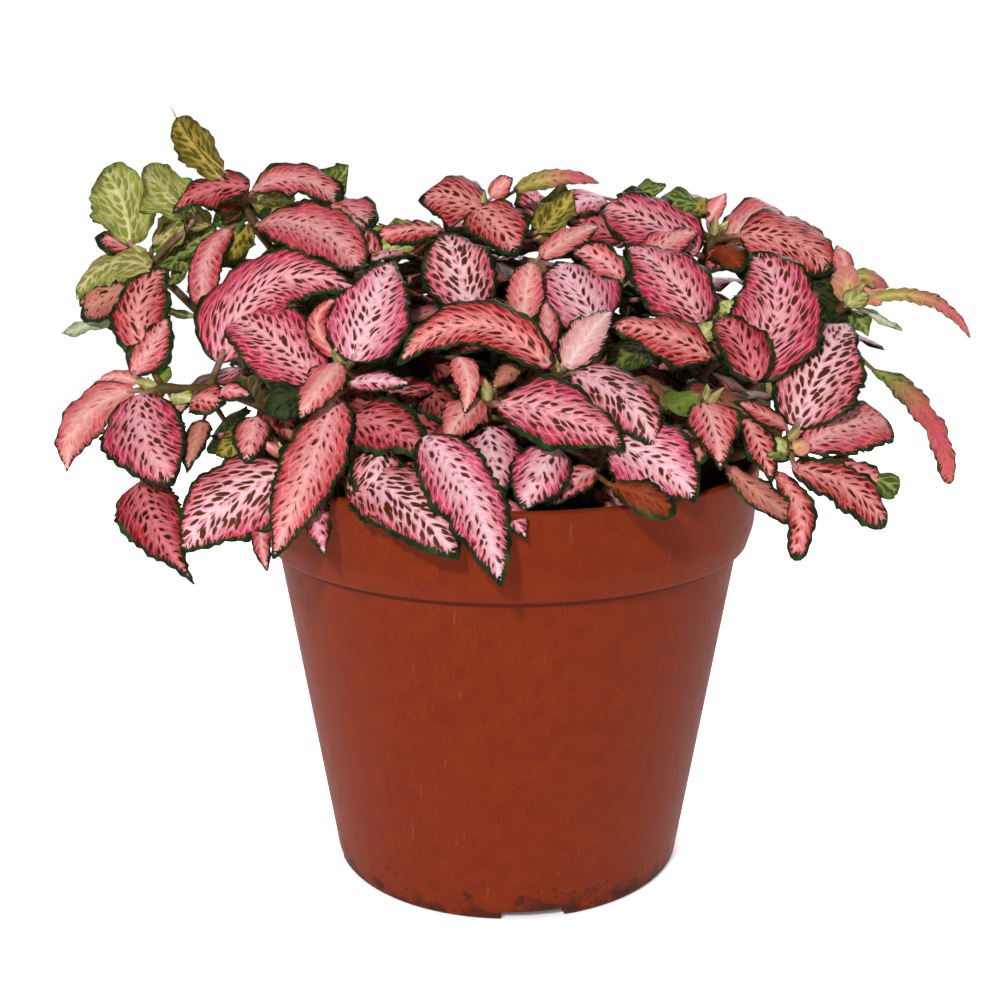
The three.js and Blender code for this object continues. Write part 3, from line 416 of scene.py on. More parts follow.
        LeafPlan((280, 209), (376, 212), 7.5, 0.4, Look.PINK, bow=0.1, broad=1.2, blunt=0.5,
                 moved=(0, 10)),
        LeafPlan((298, 202), (372, 230), 6.5, 0.9, Look.PINK),
        LeafPlan((255, 221), (360, 262), 9.5, 0.2, Look.PINK, bow=0.1, broad=1.35, blunt=0.5,
                 moved=(0, 4)),
        LeafPlan((227, 228), (200, 310), 5, 0.4, Look.PINK, bow=-0.1, broad=1.5, blunt=0.4,
                 moved=(4, 0)),
        LeafPlan((248, 225), (218, 263), 7, 0.9, Look.OLIVE, under=True),
        LeafPlan((211, 225), (175, 205), 6, 1, Look.BACK, under=True),
    ), more=(
        LeafPlan((226, 172), (169, 107), 0.6, 0.6, Look.OLIVE, under=True),
        LeafPlan((376, 262), (350, 226), 8, 1.2, Look.RED, blunt=0.7),
        LeafPlan((354, 276), (262, 248), 10, 1.5, Look.SHADE, blunt=0.6),
        LeafPlan((242, 206), (204, 196), 7, 0.8, Look.RUST, blunt=0.6),
        LeafPlan((246, 212), (212, 222), 7, 1.0, Look.GREEN, blunt=0.6),
        LeafPlan((236, 204), (222, 226), 5, 0.6, Look.RUST),
        LeafPlan((248, 196), (296, 201), 7, 1.4, Look.BACK, under=True, blunt=0.7),
        LeafPlan((250, 203), (290, 212), 7, 1.6, Look.SHADE, blunt=0.7),
        LeafPlan((206, 262), (252, 240), 8, 1.8, Look.GREEN, under=True, blunt=0.6),
    )),
    StemPlan("stem_left_upper", (-43, 4), (148, 262), 1, (
        LeafPlan((135, 241), (107, 163), 12.5, 0.2, Look.LIME, bow=0.1, under=True, broad=1.1,
                 blunt=0.45, moved=(-4, 4)),
        LeafPlan((194, 211), (142, 163), 10.5, 0.8, Look.LIME, under=True, blunt=0.5, moved=(0, 5)),
        LeafPlan((130, 246), (94, 237), 6.5, 0.6, Look.PINK),
        LeafPlan((152, 271), (74, 303), 7, 0, Look.BACK, bow=-0.22, moved=(0, -4)),
        LeafPlan((144, 272), (78, 306), 6, 0.7, Look.DUSTY, bow=-0.1),
        LeafPlan((184, 222), (152, 252), 6, 1, Look.GREEN, under=True),
        LeafPlan((189, 240), (168, 289), 5, 1.2, Look.GREEN, under=True),
    ), more=(
        LeafPlan((152, 276), (78, 316), 9, 0.5, Look.DUSTY, blunt=0.6),
        LeafPlan((122, 300), (62, 335), 4.5, 0.9, Look.GHOST, under=True),
        LeafPlan((140, 300), (92, 322), 7, 1.2, Look.GREEN, under=True),
        LeafPlan((153, 246), (186, 208), 8, 1.2, Look.BACK, under=True, blunt=0.6),
        LeafPlan((166, 252), (218, 228), 7, 1.2, Look.GREEN, under=True, blunt=0.6),
        LeafPlan((148, 302), (206, 318), 2.2, 1.4, Look.BACK, under=True),
        LeafPlan((182, 246), (164, 272), 7, 1.3, Look.GREEN, under=True, blunt=0.6),
    )),
    StemPlan("stem_left", (-38, -9), (158, 388), 0.8, (
        LeafPlan((143, 363), (165, 268), 11.5, 0.2, Look.RED, bow=0.16, moved=(5, -4)),
        LeafPlan((150, 375), (187, 312), 8.5, 0, Look.PINK, bow=-0.06, broad=0.92, moved=(-17, 0)),
        LeafPlan((138, 383), (92, 384), 4.5, 0.3, Look.SALMON, bow=-0.1),
        LeafPlan((135, 390), (65, 472), 10.5, 0.1, Look.SALMON, bow=-0.2, broad=0.85, swing=0.02),
        LeafPlan((145, 397), (178, 487), 16.5, 0, Look.ROSE, bow=-0.08, blunt=0.8, moved=(-5, -3)),
        LeafPlan((138, 480), (192, 584), 13.5, 0.9, Look.DEEP, bow=-0.06, blunt=1.4, moved=(4, 0)),
        LeafPlan((159, 421), (191, 402), 4.5, 0.8, Look.PINK),
        LeafPlan((211, 364), (356, 290), 11.5, 0.5, Look.ROSE, bow=0.34, broad=1.32, moved=(9, 0)),
        LeafPlan((192, 405), (226, 408), 6, 0.5, Look.RED, broad=1.35, moved=(0, -5)),
        LeafPlan((204, 419), (186, 473), 5.5, 0.7, Look.DUSTY),
    ), by=((259, 405), (213, 391)), more=(
        LeafPlan((216, 392), (252, 397), 4.5, 0.4, Look.PINK),
        LeafPlan((304, 392), (264, 414), 8, 0.5, Look.SHADE, blunt=0.7),
        LeafPlan((170, 398), (193, 400), 4, 0.9, Look.LIME),
        LeafPlan((156, 384), (170, 366), 3.5, 0.6, Look.FRESH),
    )),
)
FAR_STEMS = (
    FarStemPlan("stem_far_right", 24, 36, 76, 126),
    FarStemPlan("stem_rear_right", 57, 38, 70, 137),
    FarStemPlan("stem_rear", 90, 37, 72, 128),
    FarStemPlan("stem_rear_left", 123, 38, 69, 138),
    FarStemPlan("stem_far_left", 155, 36, 78, 127),
    FarStemPlan("stem_inner_right", 72, 15, 31, 151),
    FarStemPlan("stem_inner_left", 118, 19, 38, 149),
)
FAR_PAIRS = (PairPlan(1, 13, 7.5, -35), PairPlan(0.92, 29, 15, -4), PairPlan(0.76, 35, 17, 20))
LOWER_PAIR = PairPlan(0.6, 25, 12.5, 0)
# How far leaves that are set by rule are shifted in the view, by their numbers in the plant.
SHIFTS: dict[int, Point] = {2120: (-14, 32)}

# How far a leaf's foot and tip are moved along its normal to clear its neighbours.
BENDS = (
    (0, 0), (1, 2), (-1, -2), (0, 4), (0, -4), (2, 2), (-2, -2), (2, 6), (-2, -6), (4, 4),
    (-4, -4), (4, 8), (-4, -8), (0, 9), (0, -9), (6, 6), (-6, -6), (6, 12), (-6, -12), (9, 9),
    (-9, -9), (9, 16), (-9, -16), (12, 12), (-12, -12), (0, 15), (0, -15), (12, 22), (-12, -22),
)


# ---- Meshes ----

@dataclass
class Shell:
    """Part of a mesh: points in millimetres, faces as arrays of corners, and its finish.

    traits holds the values of the material's attributes at each point, by name.
    """
    points: np.ndarray
    faces: list[np.ndarray]
    finish: int = 0
    traits: dict[str, np.ndarray] = field(default_factory=dict)


def closed_skin(rings: np.ndarray, start: np.ndarray, end: np.ndarray) -> Shell:
    """Joins rings of points into a closed skin, with a fan of triangles at either end.

    Ring i goes anticlockwise seen from the end, corner j of it is joined to corner j of ring
    i + 1, and the fans meet in the start and end points.

    Args:
        rings: the points, as rings by corners by 3.
        start: the point that closes the first ring.
        end: the point that closes the last ring.

    Returns:
        The shell, with the start point first and the end point last.
    """
    rows, corners = rings.shape[:2]
    ids = 1 + np.arange(rows * corners).reshape(rows, corners)
    after = np.roll(ids, -1, axis=1)
    quads = np.stack([ids[:-1], after[:-1], after[1:], ids[1:]], axis=-1).reshape(-1, 4)
    last = rows * corners + 1
    first_fan = np.stack([np.zeros(corners, int), after[0], ids[0]], axis=-1)
    last_fan = np.stack([np.full(corners, last), ids[-1], after[-1]], axis=-1)
    points = np.concatenate([start[None], rings.reshape(-1, 3), end[None]])
    return Shell(points, [quads, first_fan, last_fan])


def tube(path: np.ndarray, radius: np.ndarray, corners: int, squash: float = 1.0) -> Shell:
    """Carries a circle along a path: middle + radius x (cosine x side + sine x up).

    Args:
        path: the middle line, as points by 3.
        radius: the radius at each point of it.
        corners: how many sides the tube has.
        squash: the tube's height as a share of its width.

    Returns:
        The closed shell.
    """
    tangent = unit(np.gradient(path, axis=0))
    across = np.cross(path[-1] - path[0], (0.0, 0.0, 1.0))
    if np.linalg.norm(across) < 0.1 * np.linalg.norm(path[-1] - path[0]):
        across = np.array((1.0, 0.0, 0.0))
    side = unit(across - dot(np.broadcast_to(across, tangent.shape), tangent) * tangent)
    up = np.cross(tangent, side)
    turn = np.linspace(0, 2 * math.pi, corners, endpoint=False)[None, :, None]
    ring = np.cos(turn) * side[:, None] + squash * np.sin(turn) * up[:, None]
    rings = path[:, None] + radius[:, None, None] * ring
    return closed_skin(rings, path[0] - TUBE_CAP * radius[0] * tangent[0],
                       path[-1] + TUBE_CAP * radius[-1] * tangent[-1])


def merge(shells: Iterable[Shell]) -> Shell:
    """Puts shells of the same finish and traits into one, without joining their points.

    Args:
        shells: the shells.

    Returns:
        The one shell.
    """
    shells = list(shells)
    starts = np.cumsum([0] + [len(s.points) for s in shells])
    faces = [f + start for s, start in zip(shells, starts) for f in s.faces]
    traits = {key: np.concatenate([s.traits[key] for s in shells]) for key in shells[0].traits}
    return Shell(np.concatenate([s.points for s in shells]), faces, shells[0].finish, traits)


def place_mesh(name: str, shells: Sequence[Shell], finishes: Sequence[bpy.types.Material],
               axis: np.ndarray, smooth: bool = True) -> bpy.types.Object:
    """Writes shells into one mesh object, moved to the row frame and to metres.

    Args:
        name: the object's name.
        shells: its shells, whose finish numbers count into finishes.
        finishes: its materials.
        axis: where the pot's axis stands in the row frame, in millimetres.
        smooth: whether its faces are shaded as one rounded surface.

    Returns:
        The object, linked to the scene.
    """
    mesh = bpy.data.meshes.new(name)
    points = (np.concatenate([s.points for s in shells]) + axis) * METRES_PER_MM
    starts = np.cumsum([0] + [len(s.points) for s in shells])
    faces = [(f + start, s.finish) for s, start in zip(shells, starts) for f in s.faces]
    counts = np.concatenate([np.full(len(f), f.shape[1]) for f, _ in faces])
    mesh.vertices.add(len(points))
    mesh.vertices.foreach_set("co", points.astype(np.float32).ravel())
    mesh.loops.add(int(counts.sum()))
    mesh.loops.foreach_set("vertex_index", np.concatenate([f.ravel() for f, _ in faces]))
    mesh.polygons.add(len(counts))
    mesh.polygons.foreach_set("loop_start", np.cumsum(counts) - counts)
    mesh.polygons.foreach_set(
        "material_index", np.concatenate([np.full(len(f), finish) for f, finish in faces]))
    mesh.update(calc_edges=True)
    mesh.polygons.foreach_set("use_smooth", np.full(len(counts), smooth))
    for key in shells[0].traits:
        values = np.concatenate([s.traits[key] for s in shells]).astype(np.float32)
        kind, slot = TRAIT_KINDS[values.shape[1]]
        mesh.attributes.new(key, kind, "POINT").data.foreach_set(slot, values.ravel())
    for material in finishes:
        mesh.materials.append(material)
    piece = bpy.data.objects.new(name, mesh)
    bpy.context.scene.collection.objects.link(piece)
    return piece


def add_node(tree: bpy.types.NodeTree, kind: str, inputs: dict[Any, Any] | Sequence[Any] = (),
             **settings: Any) -> bpy.types.Node:
    """Adds a node with its settings, values and links.

    Args:
        tree: the material's or world's node tree.
        kind: the node's type.
        inputs: for each socket's name or number, or for the first sockets in their order, a
            value, a node whose first working output is linked to it, or an output socket.
        **settings: the node's own properties.

    Returns:
        The node.
    """
    node = tree.nodes.new(kind)
    for key, value in settings.items():
        setattr(node, key, value)
    for key, value in inputs.items() if isinstance(inputs, dict) else enumerate(inputs):
        if isinstance(value, bpy.types.Node):
            value = next(socket for socket in value.outputs if socket.enabled)
        if isinstance(value, bpy.types.NodeSocket):
            tree.links.new(value, node.inputs[key])
        else:
            node.inputs[key].default_value = value
    return node


def blank_material(name: str) -> tuple[bpy.types.Material, bpy.types.NodeTree]:
    """Makes a material, and its empty node tree.

    Args:
        name: the material's name.

    Returns:
        The material and the tree.
    """
    material = bpy.data.materials.new(name)
    material.use_nodes = True
    material.node_tree.nodes.clear()
    return material, material.node_tree


# ---- Finishes ----

# Where nearly all of a noise's values lie.
NOISE_SPAN = (0.3, 0.7)


@dataclass(frozen=True)
class LeafFlesh:
    """Living nerve-plant leaf: coloured flesh in a net of veins under a thin waxy skin.

    The eye sees pale flesh along the midrib that reddens outwards in streaks beside the side
    veins, dark pods in the cells between the veins, and a green rim that the veins' ends finger
    into. Widths, lengths and reaches are millimetres on the blade, scales are per millimetre,
    sizes of pods are shares of a cell, and the rest are shares of the effect. A field that ends
    in _span holds the two values of its pattern or measure that the effect changes between.
    """
    cell_across: float = 1.65
    cell_along: float = 2.5
    cell_randomness: float = 0.62
    wander_scale: float = 0.4
    wander_reach: float = 1.6
    pod_size: float = 0.4
    pod_variety: float = 0.16
    pod_least: float = -0.06
    pod_split: float = -0.6
    pod_edge: float = 0.05
    pods_off_rib_span: Span = (0.2, 0.6)
    netted_span: Span = (0.0, 0.1)
    patch_reach: float = 0.2
    patch_redness: float = 0.5
    net_span: Span = (0.02, 0.11)
    net_paleness: float = 0.5
    net_fade_span: Span = (0.2, 0.9)
    net_faded: float = 0.3
    streak_width: float = 0.45
    streak_length: float = 6.0
    streak_redness: float = 0.9
    blush_span: Span = (0.38, 1.08)
    streak_light: Span = (0.68, 1.02)
    midrib_width: float = 0.5
    midrib_paleness: float = 0.45
    vein_span: Span = (0.05, 0.2)
    vein_paleness: Span = (0.5, 0.08)
    vein_fade_span: Span = (0.1, 0.95)
    vein_cells_span: Span = (0.1, 0.6)
    vein_in_plain: float = 0.3
    finger_width: float = 0.42
    finger_length: float = 2.2
    finger_span: Span = (0.38, 0.68)
    finger_reach: Span = (-0.25, 0.7)
    rim_span: Span = (-0.18, 0.22)
    rim_patch_scale: float = 0.23
    rim_light_span: Span = (0.45, 0.75)
    rim_light: Span = (0.75, 2.4)
    puff_span: Span = (0.55, 0.15)
    roughness: Span = (0.44, 0.58)
    ior: float = 1.45
    sheen_level: float = 0.12
    relief: float = 0.16
    relief_strength: float = 0.5
    grain_share: float = 0.5

    def material(self) -> bpy.types.Material:
        """Builds the material from the attributes that a blade's mesh carries.

        Returns:
            The material.
        """
        material, tree = blank_material("living_leaf_flesh")
        place = add_node(tree, "ShaderNodeAttribute", attribute_name="vein_place").outputs["Vector"]
        (edge, rib, share), (cells, rim_width, shade) = (
            add_node(tree, "ShaderNodeSeparateXYZ", (
                add_node(tree, "ShaderNodeAttribute", attribute_name=name).outputs["Vector"],
            )).outputs
            for name in ("leaf_zone", "leaf_nature"))
        heart, blush, mark, margin = (
            add_node(tree, "ShaderNodeAttribute", attribute_name="leaf_" + name).outputs["Color"]
            for name in ("heart", "blush", "mark", "margin"))

        # The rows of cells wander: they are bent by a slow noise before they are laid out.
        wander = add_node(tree, "ShaderNodeTexNoise", {
            "Vector": place, "Scale": self.wander_scale, "Detail": 1.0}, noise_dimensions="2D")
        bent = add_node(tree, "ShaderNodeVectorMath", (
            wander.outputs["Color"], (self.wander_reach, self.wander_reach, 0.0), place),
            operation="MULTIPLY_ADD")
        laid = add_node(tree, "ShaderNodeVectorMath", (
            bent, (1 / self.cell_across, 1 / self.cell_along, 0.0)), operation="MULTIPLY")
        net, walls = (
            add_node(tree, "ShaderNodeTexVoronoi", {
                "Vector": laid, "Scale": 1.0, "Randomness": self.cell_randomness},
                voronoi_dimensions="2D", feature=feature)
            for feature in ("F1", "DISTANCE_TO_EDGE"))
        patchy = add_node(tree, "ShaderNodeTexNoise", {
            "Vector": place, "Scale": self.rim_patch_scale, "Detail": 1.0}, noise_dimensions="2D")
        drawn_out = add_node(tree, "ShaderNodeVectorMath", (
            place, (1 / self.streak_width, 1 / self.streak_length, 0.0)), operation="MULTIPLY")
        streaks = add_node(tree, "ShaderNodeTexNoise", {
            "Vector": drawn_out, "Scale": 1.0, "Detail": 2.0, "Roughness": 0.6},
            noise_dimensions="2D")

        # A dark pod fills the middle of each cell. Pods differ in size by their cell's own random
        # colour, and towards the margin they shrink and the streaks split them into slits.
        own_size = add_node(tree, "ShaderNodeSeparateXYZ", (net.outputs["Color"],)).outputs[0]
        grown = add_node(tree, "ShaderNodeMath", (own_size, self.pod_variety, self.pod_least),
                         operation="MULTIPLY_ADD")
        grown = add_node(tree, "ShaderNodeMath", (cells, self.pod_size, grown),
                         operation="MULTIPLY_ADD")
        split = add_node(tree, "ShaderNodeMath", (streaks, 1.0, self.pod_split),
                         operation="MULTIPLY_ADD")
        reach = add_node(tree, "ShaderNodeMath", (split, share, grown), operation="MULTIPLY_ADD")
        start, stop = (
            add_node(tree, "ShaderNodeMath", (reach, self.pod_edge), operation=operation)
            for operation in ("ADD", "SUBTRACT"))
        in_cell = add_node(tree, "ShaderNodeMapRange", (net, start, stop),
                           interpolation_type="SMOOTHSTEP")
        off_rib = add_node(tree, "ShaderNodeMapRange", (rib, *self.pods_off_rib_span),
                           interpolation_type="SMOOTHSTEP")
        some = add_node(tree, "ShaderNodeMapRange", (cells, *self.netted_span))
        spot = add_node(tree, "ShaderNodeMath", (in_cell, off_rib), operation="MULTIPLY")
        spot = add_node(tree, "ShaderNodeMath", (spot, some), operation="MULTIPLY")

        # Flesh: pale by the midrib, redder outwards, in streaks along the side veins.
        spread = add_node(tree, "ShaderNodeSeparateXYZ", (place,)).outputs[2]
        outer = add_node(tree, "ShaderNodeMath", (share, spread), operation="SUBTRACT")
        redder = add_node(tree, "ShaderNodeMath", (streaks, self.streak_redness, outer),
                          operation="MULTIPLY_ADD")
        reddened = add_node(tree, "ShaderNodeMapRange", (redder, *self.blush_span))
        flesh = add_node(tree, "ShaderNodeMix", {0: reddened, 6: heart, 7: blush},
                         data_type="RGBA")
        streaked = add_node(tree, "ShaderNodeMapRange", (
            streaks, *NOISE_SPAN, *self.streak_light))
        flesh = add_node(tree, "ShaderNodeVectorMath", (flesh, streaked), operation="MULTIPLY")
        on_rib = add_node(tree, "ShaderNodeMapRange", (
            rib, 0.0, self.midrib_width, self.midrib_paleness, 0.0),
            interpolation_type="SMOOTHSTEP")
        flesh = add_node(tree, "ShaderNodeMix", {0: on_rib, 6: flesh, 7: heart}, data_type="RGBA")
        # Each pod sits in a patch of redder flesh.
        round_to = add_node(tree, "ShaderNodeMath", (reach, self.patch_reach), operation="ADD")
        patch = add_node(tree, "ShaderNodeMapRange", (
            net, round_to, reach, 0.0, self.patch_redness), interpolation_type="SMOOTHSTEP")
        patch = add_node(tree, "ShaderNodeMath", (patch, some), operation="MULTIPLY")
        flesh = add_node(tree, "ShaderNodeMix", {0: patch, 6: flesh, 7: blush}, data_type="RGBA")
        # A net of fine pale veins runs between the pods.
        on_wall = add_node(tree, "ShaderNodeMapRange", (
            walls, *self.net_span, self.net_paleness, 0.0), interpolation_type="SMOOTHSTEP")
        on_wall = add_node(tree, "ShaderNodeMath", (on_wall, some), operation="MULTIPLY")
        inward = add_node(tree, "ShaderNodeMapRange", (
            share, *self.net_fade_span, 1.0, self.net_faded))
        on_wall = add_node(tree, "ShaderNodeMath", (on_wall, inward), operation="MULTIPLY")
        flesh = add_node(tree, "ShaderNodeMix", {0: on_wall, 6: flesh, 7: heart}, data_type="RGBA")
        # Side veins run pale between the rows of pods, out to where the blush is deepest.
        row = add_node(tree, "ShaderNodeSeparateXYZ", (laid,)).outputs[0]
        off_vein = add_node(tree, "ShaderNodeMath", (row, 0.5), operation="PINGPONG")
        on_vein = add_node(tree, "ShaderNodeMapRange", (off_vein, *self.vein_span, 1.0, 0.0),
                           interpolation_type="SMOOTHSTEP")
        fading = add_node(tree, "ShaderNodeMapRange", (
            share, *self.vein_fade_span, *self.vein_paleness))
        netted = add_node(tree, "ShaderNodeMapRange", (
            cells, *self.vein_cells_span, self.vein_in_plain, 1.0))
        paled = add_node(tree, "ShaderNodeMath", (on_vein, fading), operation="MULTIPLY")
        paled = add_node(tree, "ShaderNodeMath", (paled, netted), operation="MULTIPLY")
        for covered, colour in ((paled, heart), (spot, mark)):
            flesh = add_node(tree, "ShaderNodeMix", {0: covered, 6: flesh, 7: colour},
                             data_type="RGBA")

        # Rim: green as far in as its width plus what the gaps between the vein ends let in.
        drawn_out = add_node(tree, "ShaderNodeVectorMath", (
            place, (1 / self.finger_width, 1 / self.finger_length, 0.0)), operation="MULTIPLY")
        fingers = add_node(tree, "ShaderNodeTexNoise", {
            "Vector": drawn_out, "Scale": 1.0, "Detail": 1.0}, noise_dimensions="2D")
        let_in = add_node(tree, "ShaderNodeMapRange", (
            fingers, *self.finger_span, *self.finger_reach))
        green_to = add_node(tree, "ShaderNodeMath", (let_in, rim_width), operation="ADD")
        inside = add_node(tree, "ShaderNodeMath", (green_to, edge), operation="SUBTRACT")
        in_rim = add_node(tree, "ShaderNodeMapRange", (inside, *self.rim_span),
                          interpolation_type="SMOOTHSTEP")
        greener = add_node(tree, "ShaderNodeMapRange", (
            patchy, *self.rim_light_span, *self.rim_light))
        rim = add_node(tree, "ShaderNodeVectorMath", (margin, greener), operation="MULTIPLY")
        skin = add_node(tree, "ShaderNodeMix", {0: in_rim, 6: flesh, 7: rim}, data_type="RGBA")
        # The blade's shade value darkens it, a little at random and as painted shade on inner
        # leaves.
        shaded = add_node(tree, "ShaderNodeVectorMath", (skin, shade), operation="MULTIPLY")

        # Relief: the flesh puffs up between the veins, and the streaks give it a fine grain.
        puff = add_node(tree, "ShaderNodeMapRange", (net, *self.puff_span),
                        interpolation_type="SMOOTHSTEP")
        height = add_node(tree, "ShaderNodeMath", (streaks, self.grain_share, puff),
                          operation="MULTIPLY_ADD")
        bump = add_node(tree, "ShaderNodeBump", {
            "Height": height, "Strength": self.relief_strength,
            "Distance": self.relief * METRES_PER_MM})
        gloss = add_node(tree, "ShaderNodeMapRange", (streaks, *NOISE_SPAN, *self.roughness))
        surface = add_node(tree, "ShaderNodeBsdfPrincipled", {
            "Base Color": shaded, "Roughness": gloss, "IOR": self.ior, "Normal": bump,
            "Specular IOR Level": self.sheen_level})
        add_node(tree, "ShaderNodeOutputMaterial", {"Surface": surface})
        return material


@dataclass(frozen=True)
class StemSkin:
    """Soft green stem and stalk: fleshy, faintly ribbed along its length and dull.

    The eye sees olive skin that streaks into brown, with the colour of the leaf coming in
    along each stalk. The streaks' scale is per millimetre, and the relief in millimetres.
    """
    streak_scale: float = 0.7
    streak_span: Span = (0.35, 0.65)
    roughness: float = 0.55
    ior: float = 1.42
    sheen_level: float = 0.2
    relief: float = 0.2
    relief_strength: float = 0.4

    def material(self) -> bpy.types.Material:
        """Builds the material from the colours that the stem's mesh carries.

        Returns:
            The material.
        """
        material, tree = blank_material("soft_stem_skin")
        heart, blush = (
            add_node(tree, "ShaderNodeAttribute", attribute_name=name).outputs["Color"]
            for name in ("leaf_heart", "leaf_blush"))
        place = add_node(tree, "ShaderNodeTexCoord").outputs["Object"]
        streaks = add_node(tree, "ShaderNodeTexNoise", {
            "Vector": place, "Scale": self.streak_scale / METRES_PER_MM, "Detail": 3.0})
        share = add_node(tree, "ShaderNodeMapRange", (streaks, *self.streak_span),
                         interpolation_type="SMOOTHSTEP")
        colour = add_node(tree, "ShaderNodeMix", {0: share, 6: heart, 7: blush}, data_type="RGBA")
        bump = add_node(tree, "ShaderNodeBump", {
            "Height": streaks, "Strength": self.relief_strength,
            "Distance": self.relief * METRES_PER_MM})
        surface = add_node(tree, "ShaderNodeBsdfPrincipled", {
            "Base Color": colour, "Roughness": self.roughness, "IOR": self.ior, "Normal": bump,
            "Specular IOR Level": self.sheen_level})
        add_node(tree, "ShaderNodeOutputMaterial", {"Surface": surface})
        return material


@dataclass(frozen=True)
class PottingPeat:
    """Milled peat: dull dark crumbs and short fibres, nearly black where it is damp.

    The eye sees a matt brown-black ground with lighter dry crumbs. The crumbs' size and the
    relief are millimetres.
    """
    damp: str = "#1B110B"
    dry: str = "#4A3222"
    crumb: float = 1.6
    dry_span: Span = (0.4, 0.7)
    roughness: float = 0.95
    sheen_level: float = 0.2
    relief: float = 0.6
    relief_strength: float = 0.8

    def material(self) -> bpy.types.Material:
        """Builds the material on object coordinates.

        Returns:
            The material.
        """
        material, tree = blank_material("milled_peat")
        place = add_node(tree, "ShaderNodeTexCoord").outputs["Object"]
        crumbs = add_node(tree, "ShaderNodeTexNoise", {
            "Vector": place, "Scale": 1 / (self.crumb * METRES_PER_MM), "Detail": 6.0,
            "Roughness": 0.65})
        share = add_node(tree, "ShaderNodeMapRange", (crumbs, *self.dry_span))
        colour = add_node(tree, "ShaderNodeMix", {
            0: share, 6: linear(self.damp), 7: linear(self.dry)}, data_type="RGBA")
        bump = add_node(tree, "ShaderNodeBump", {
            "Height": crumbs, "Strength": self.relief_strength,
            "Distance": self.relief * METRES_PER_MM})
        surface = add_node(tree, "ShaderNodeBsdfPrincipled", {
            "Base Color": colour, "Roughness": self.roughness,
            "Specular IOR Level": self.sheen_level, "Normal": bump})
        add_node(tree, "ShaderNodeOutputMaterial", {"Surface": surface})
        return material


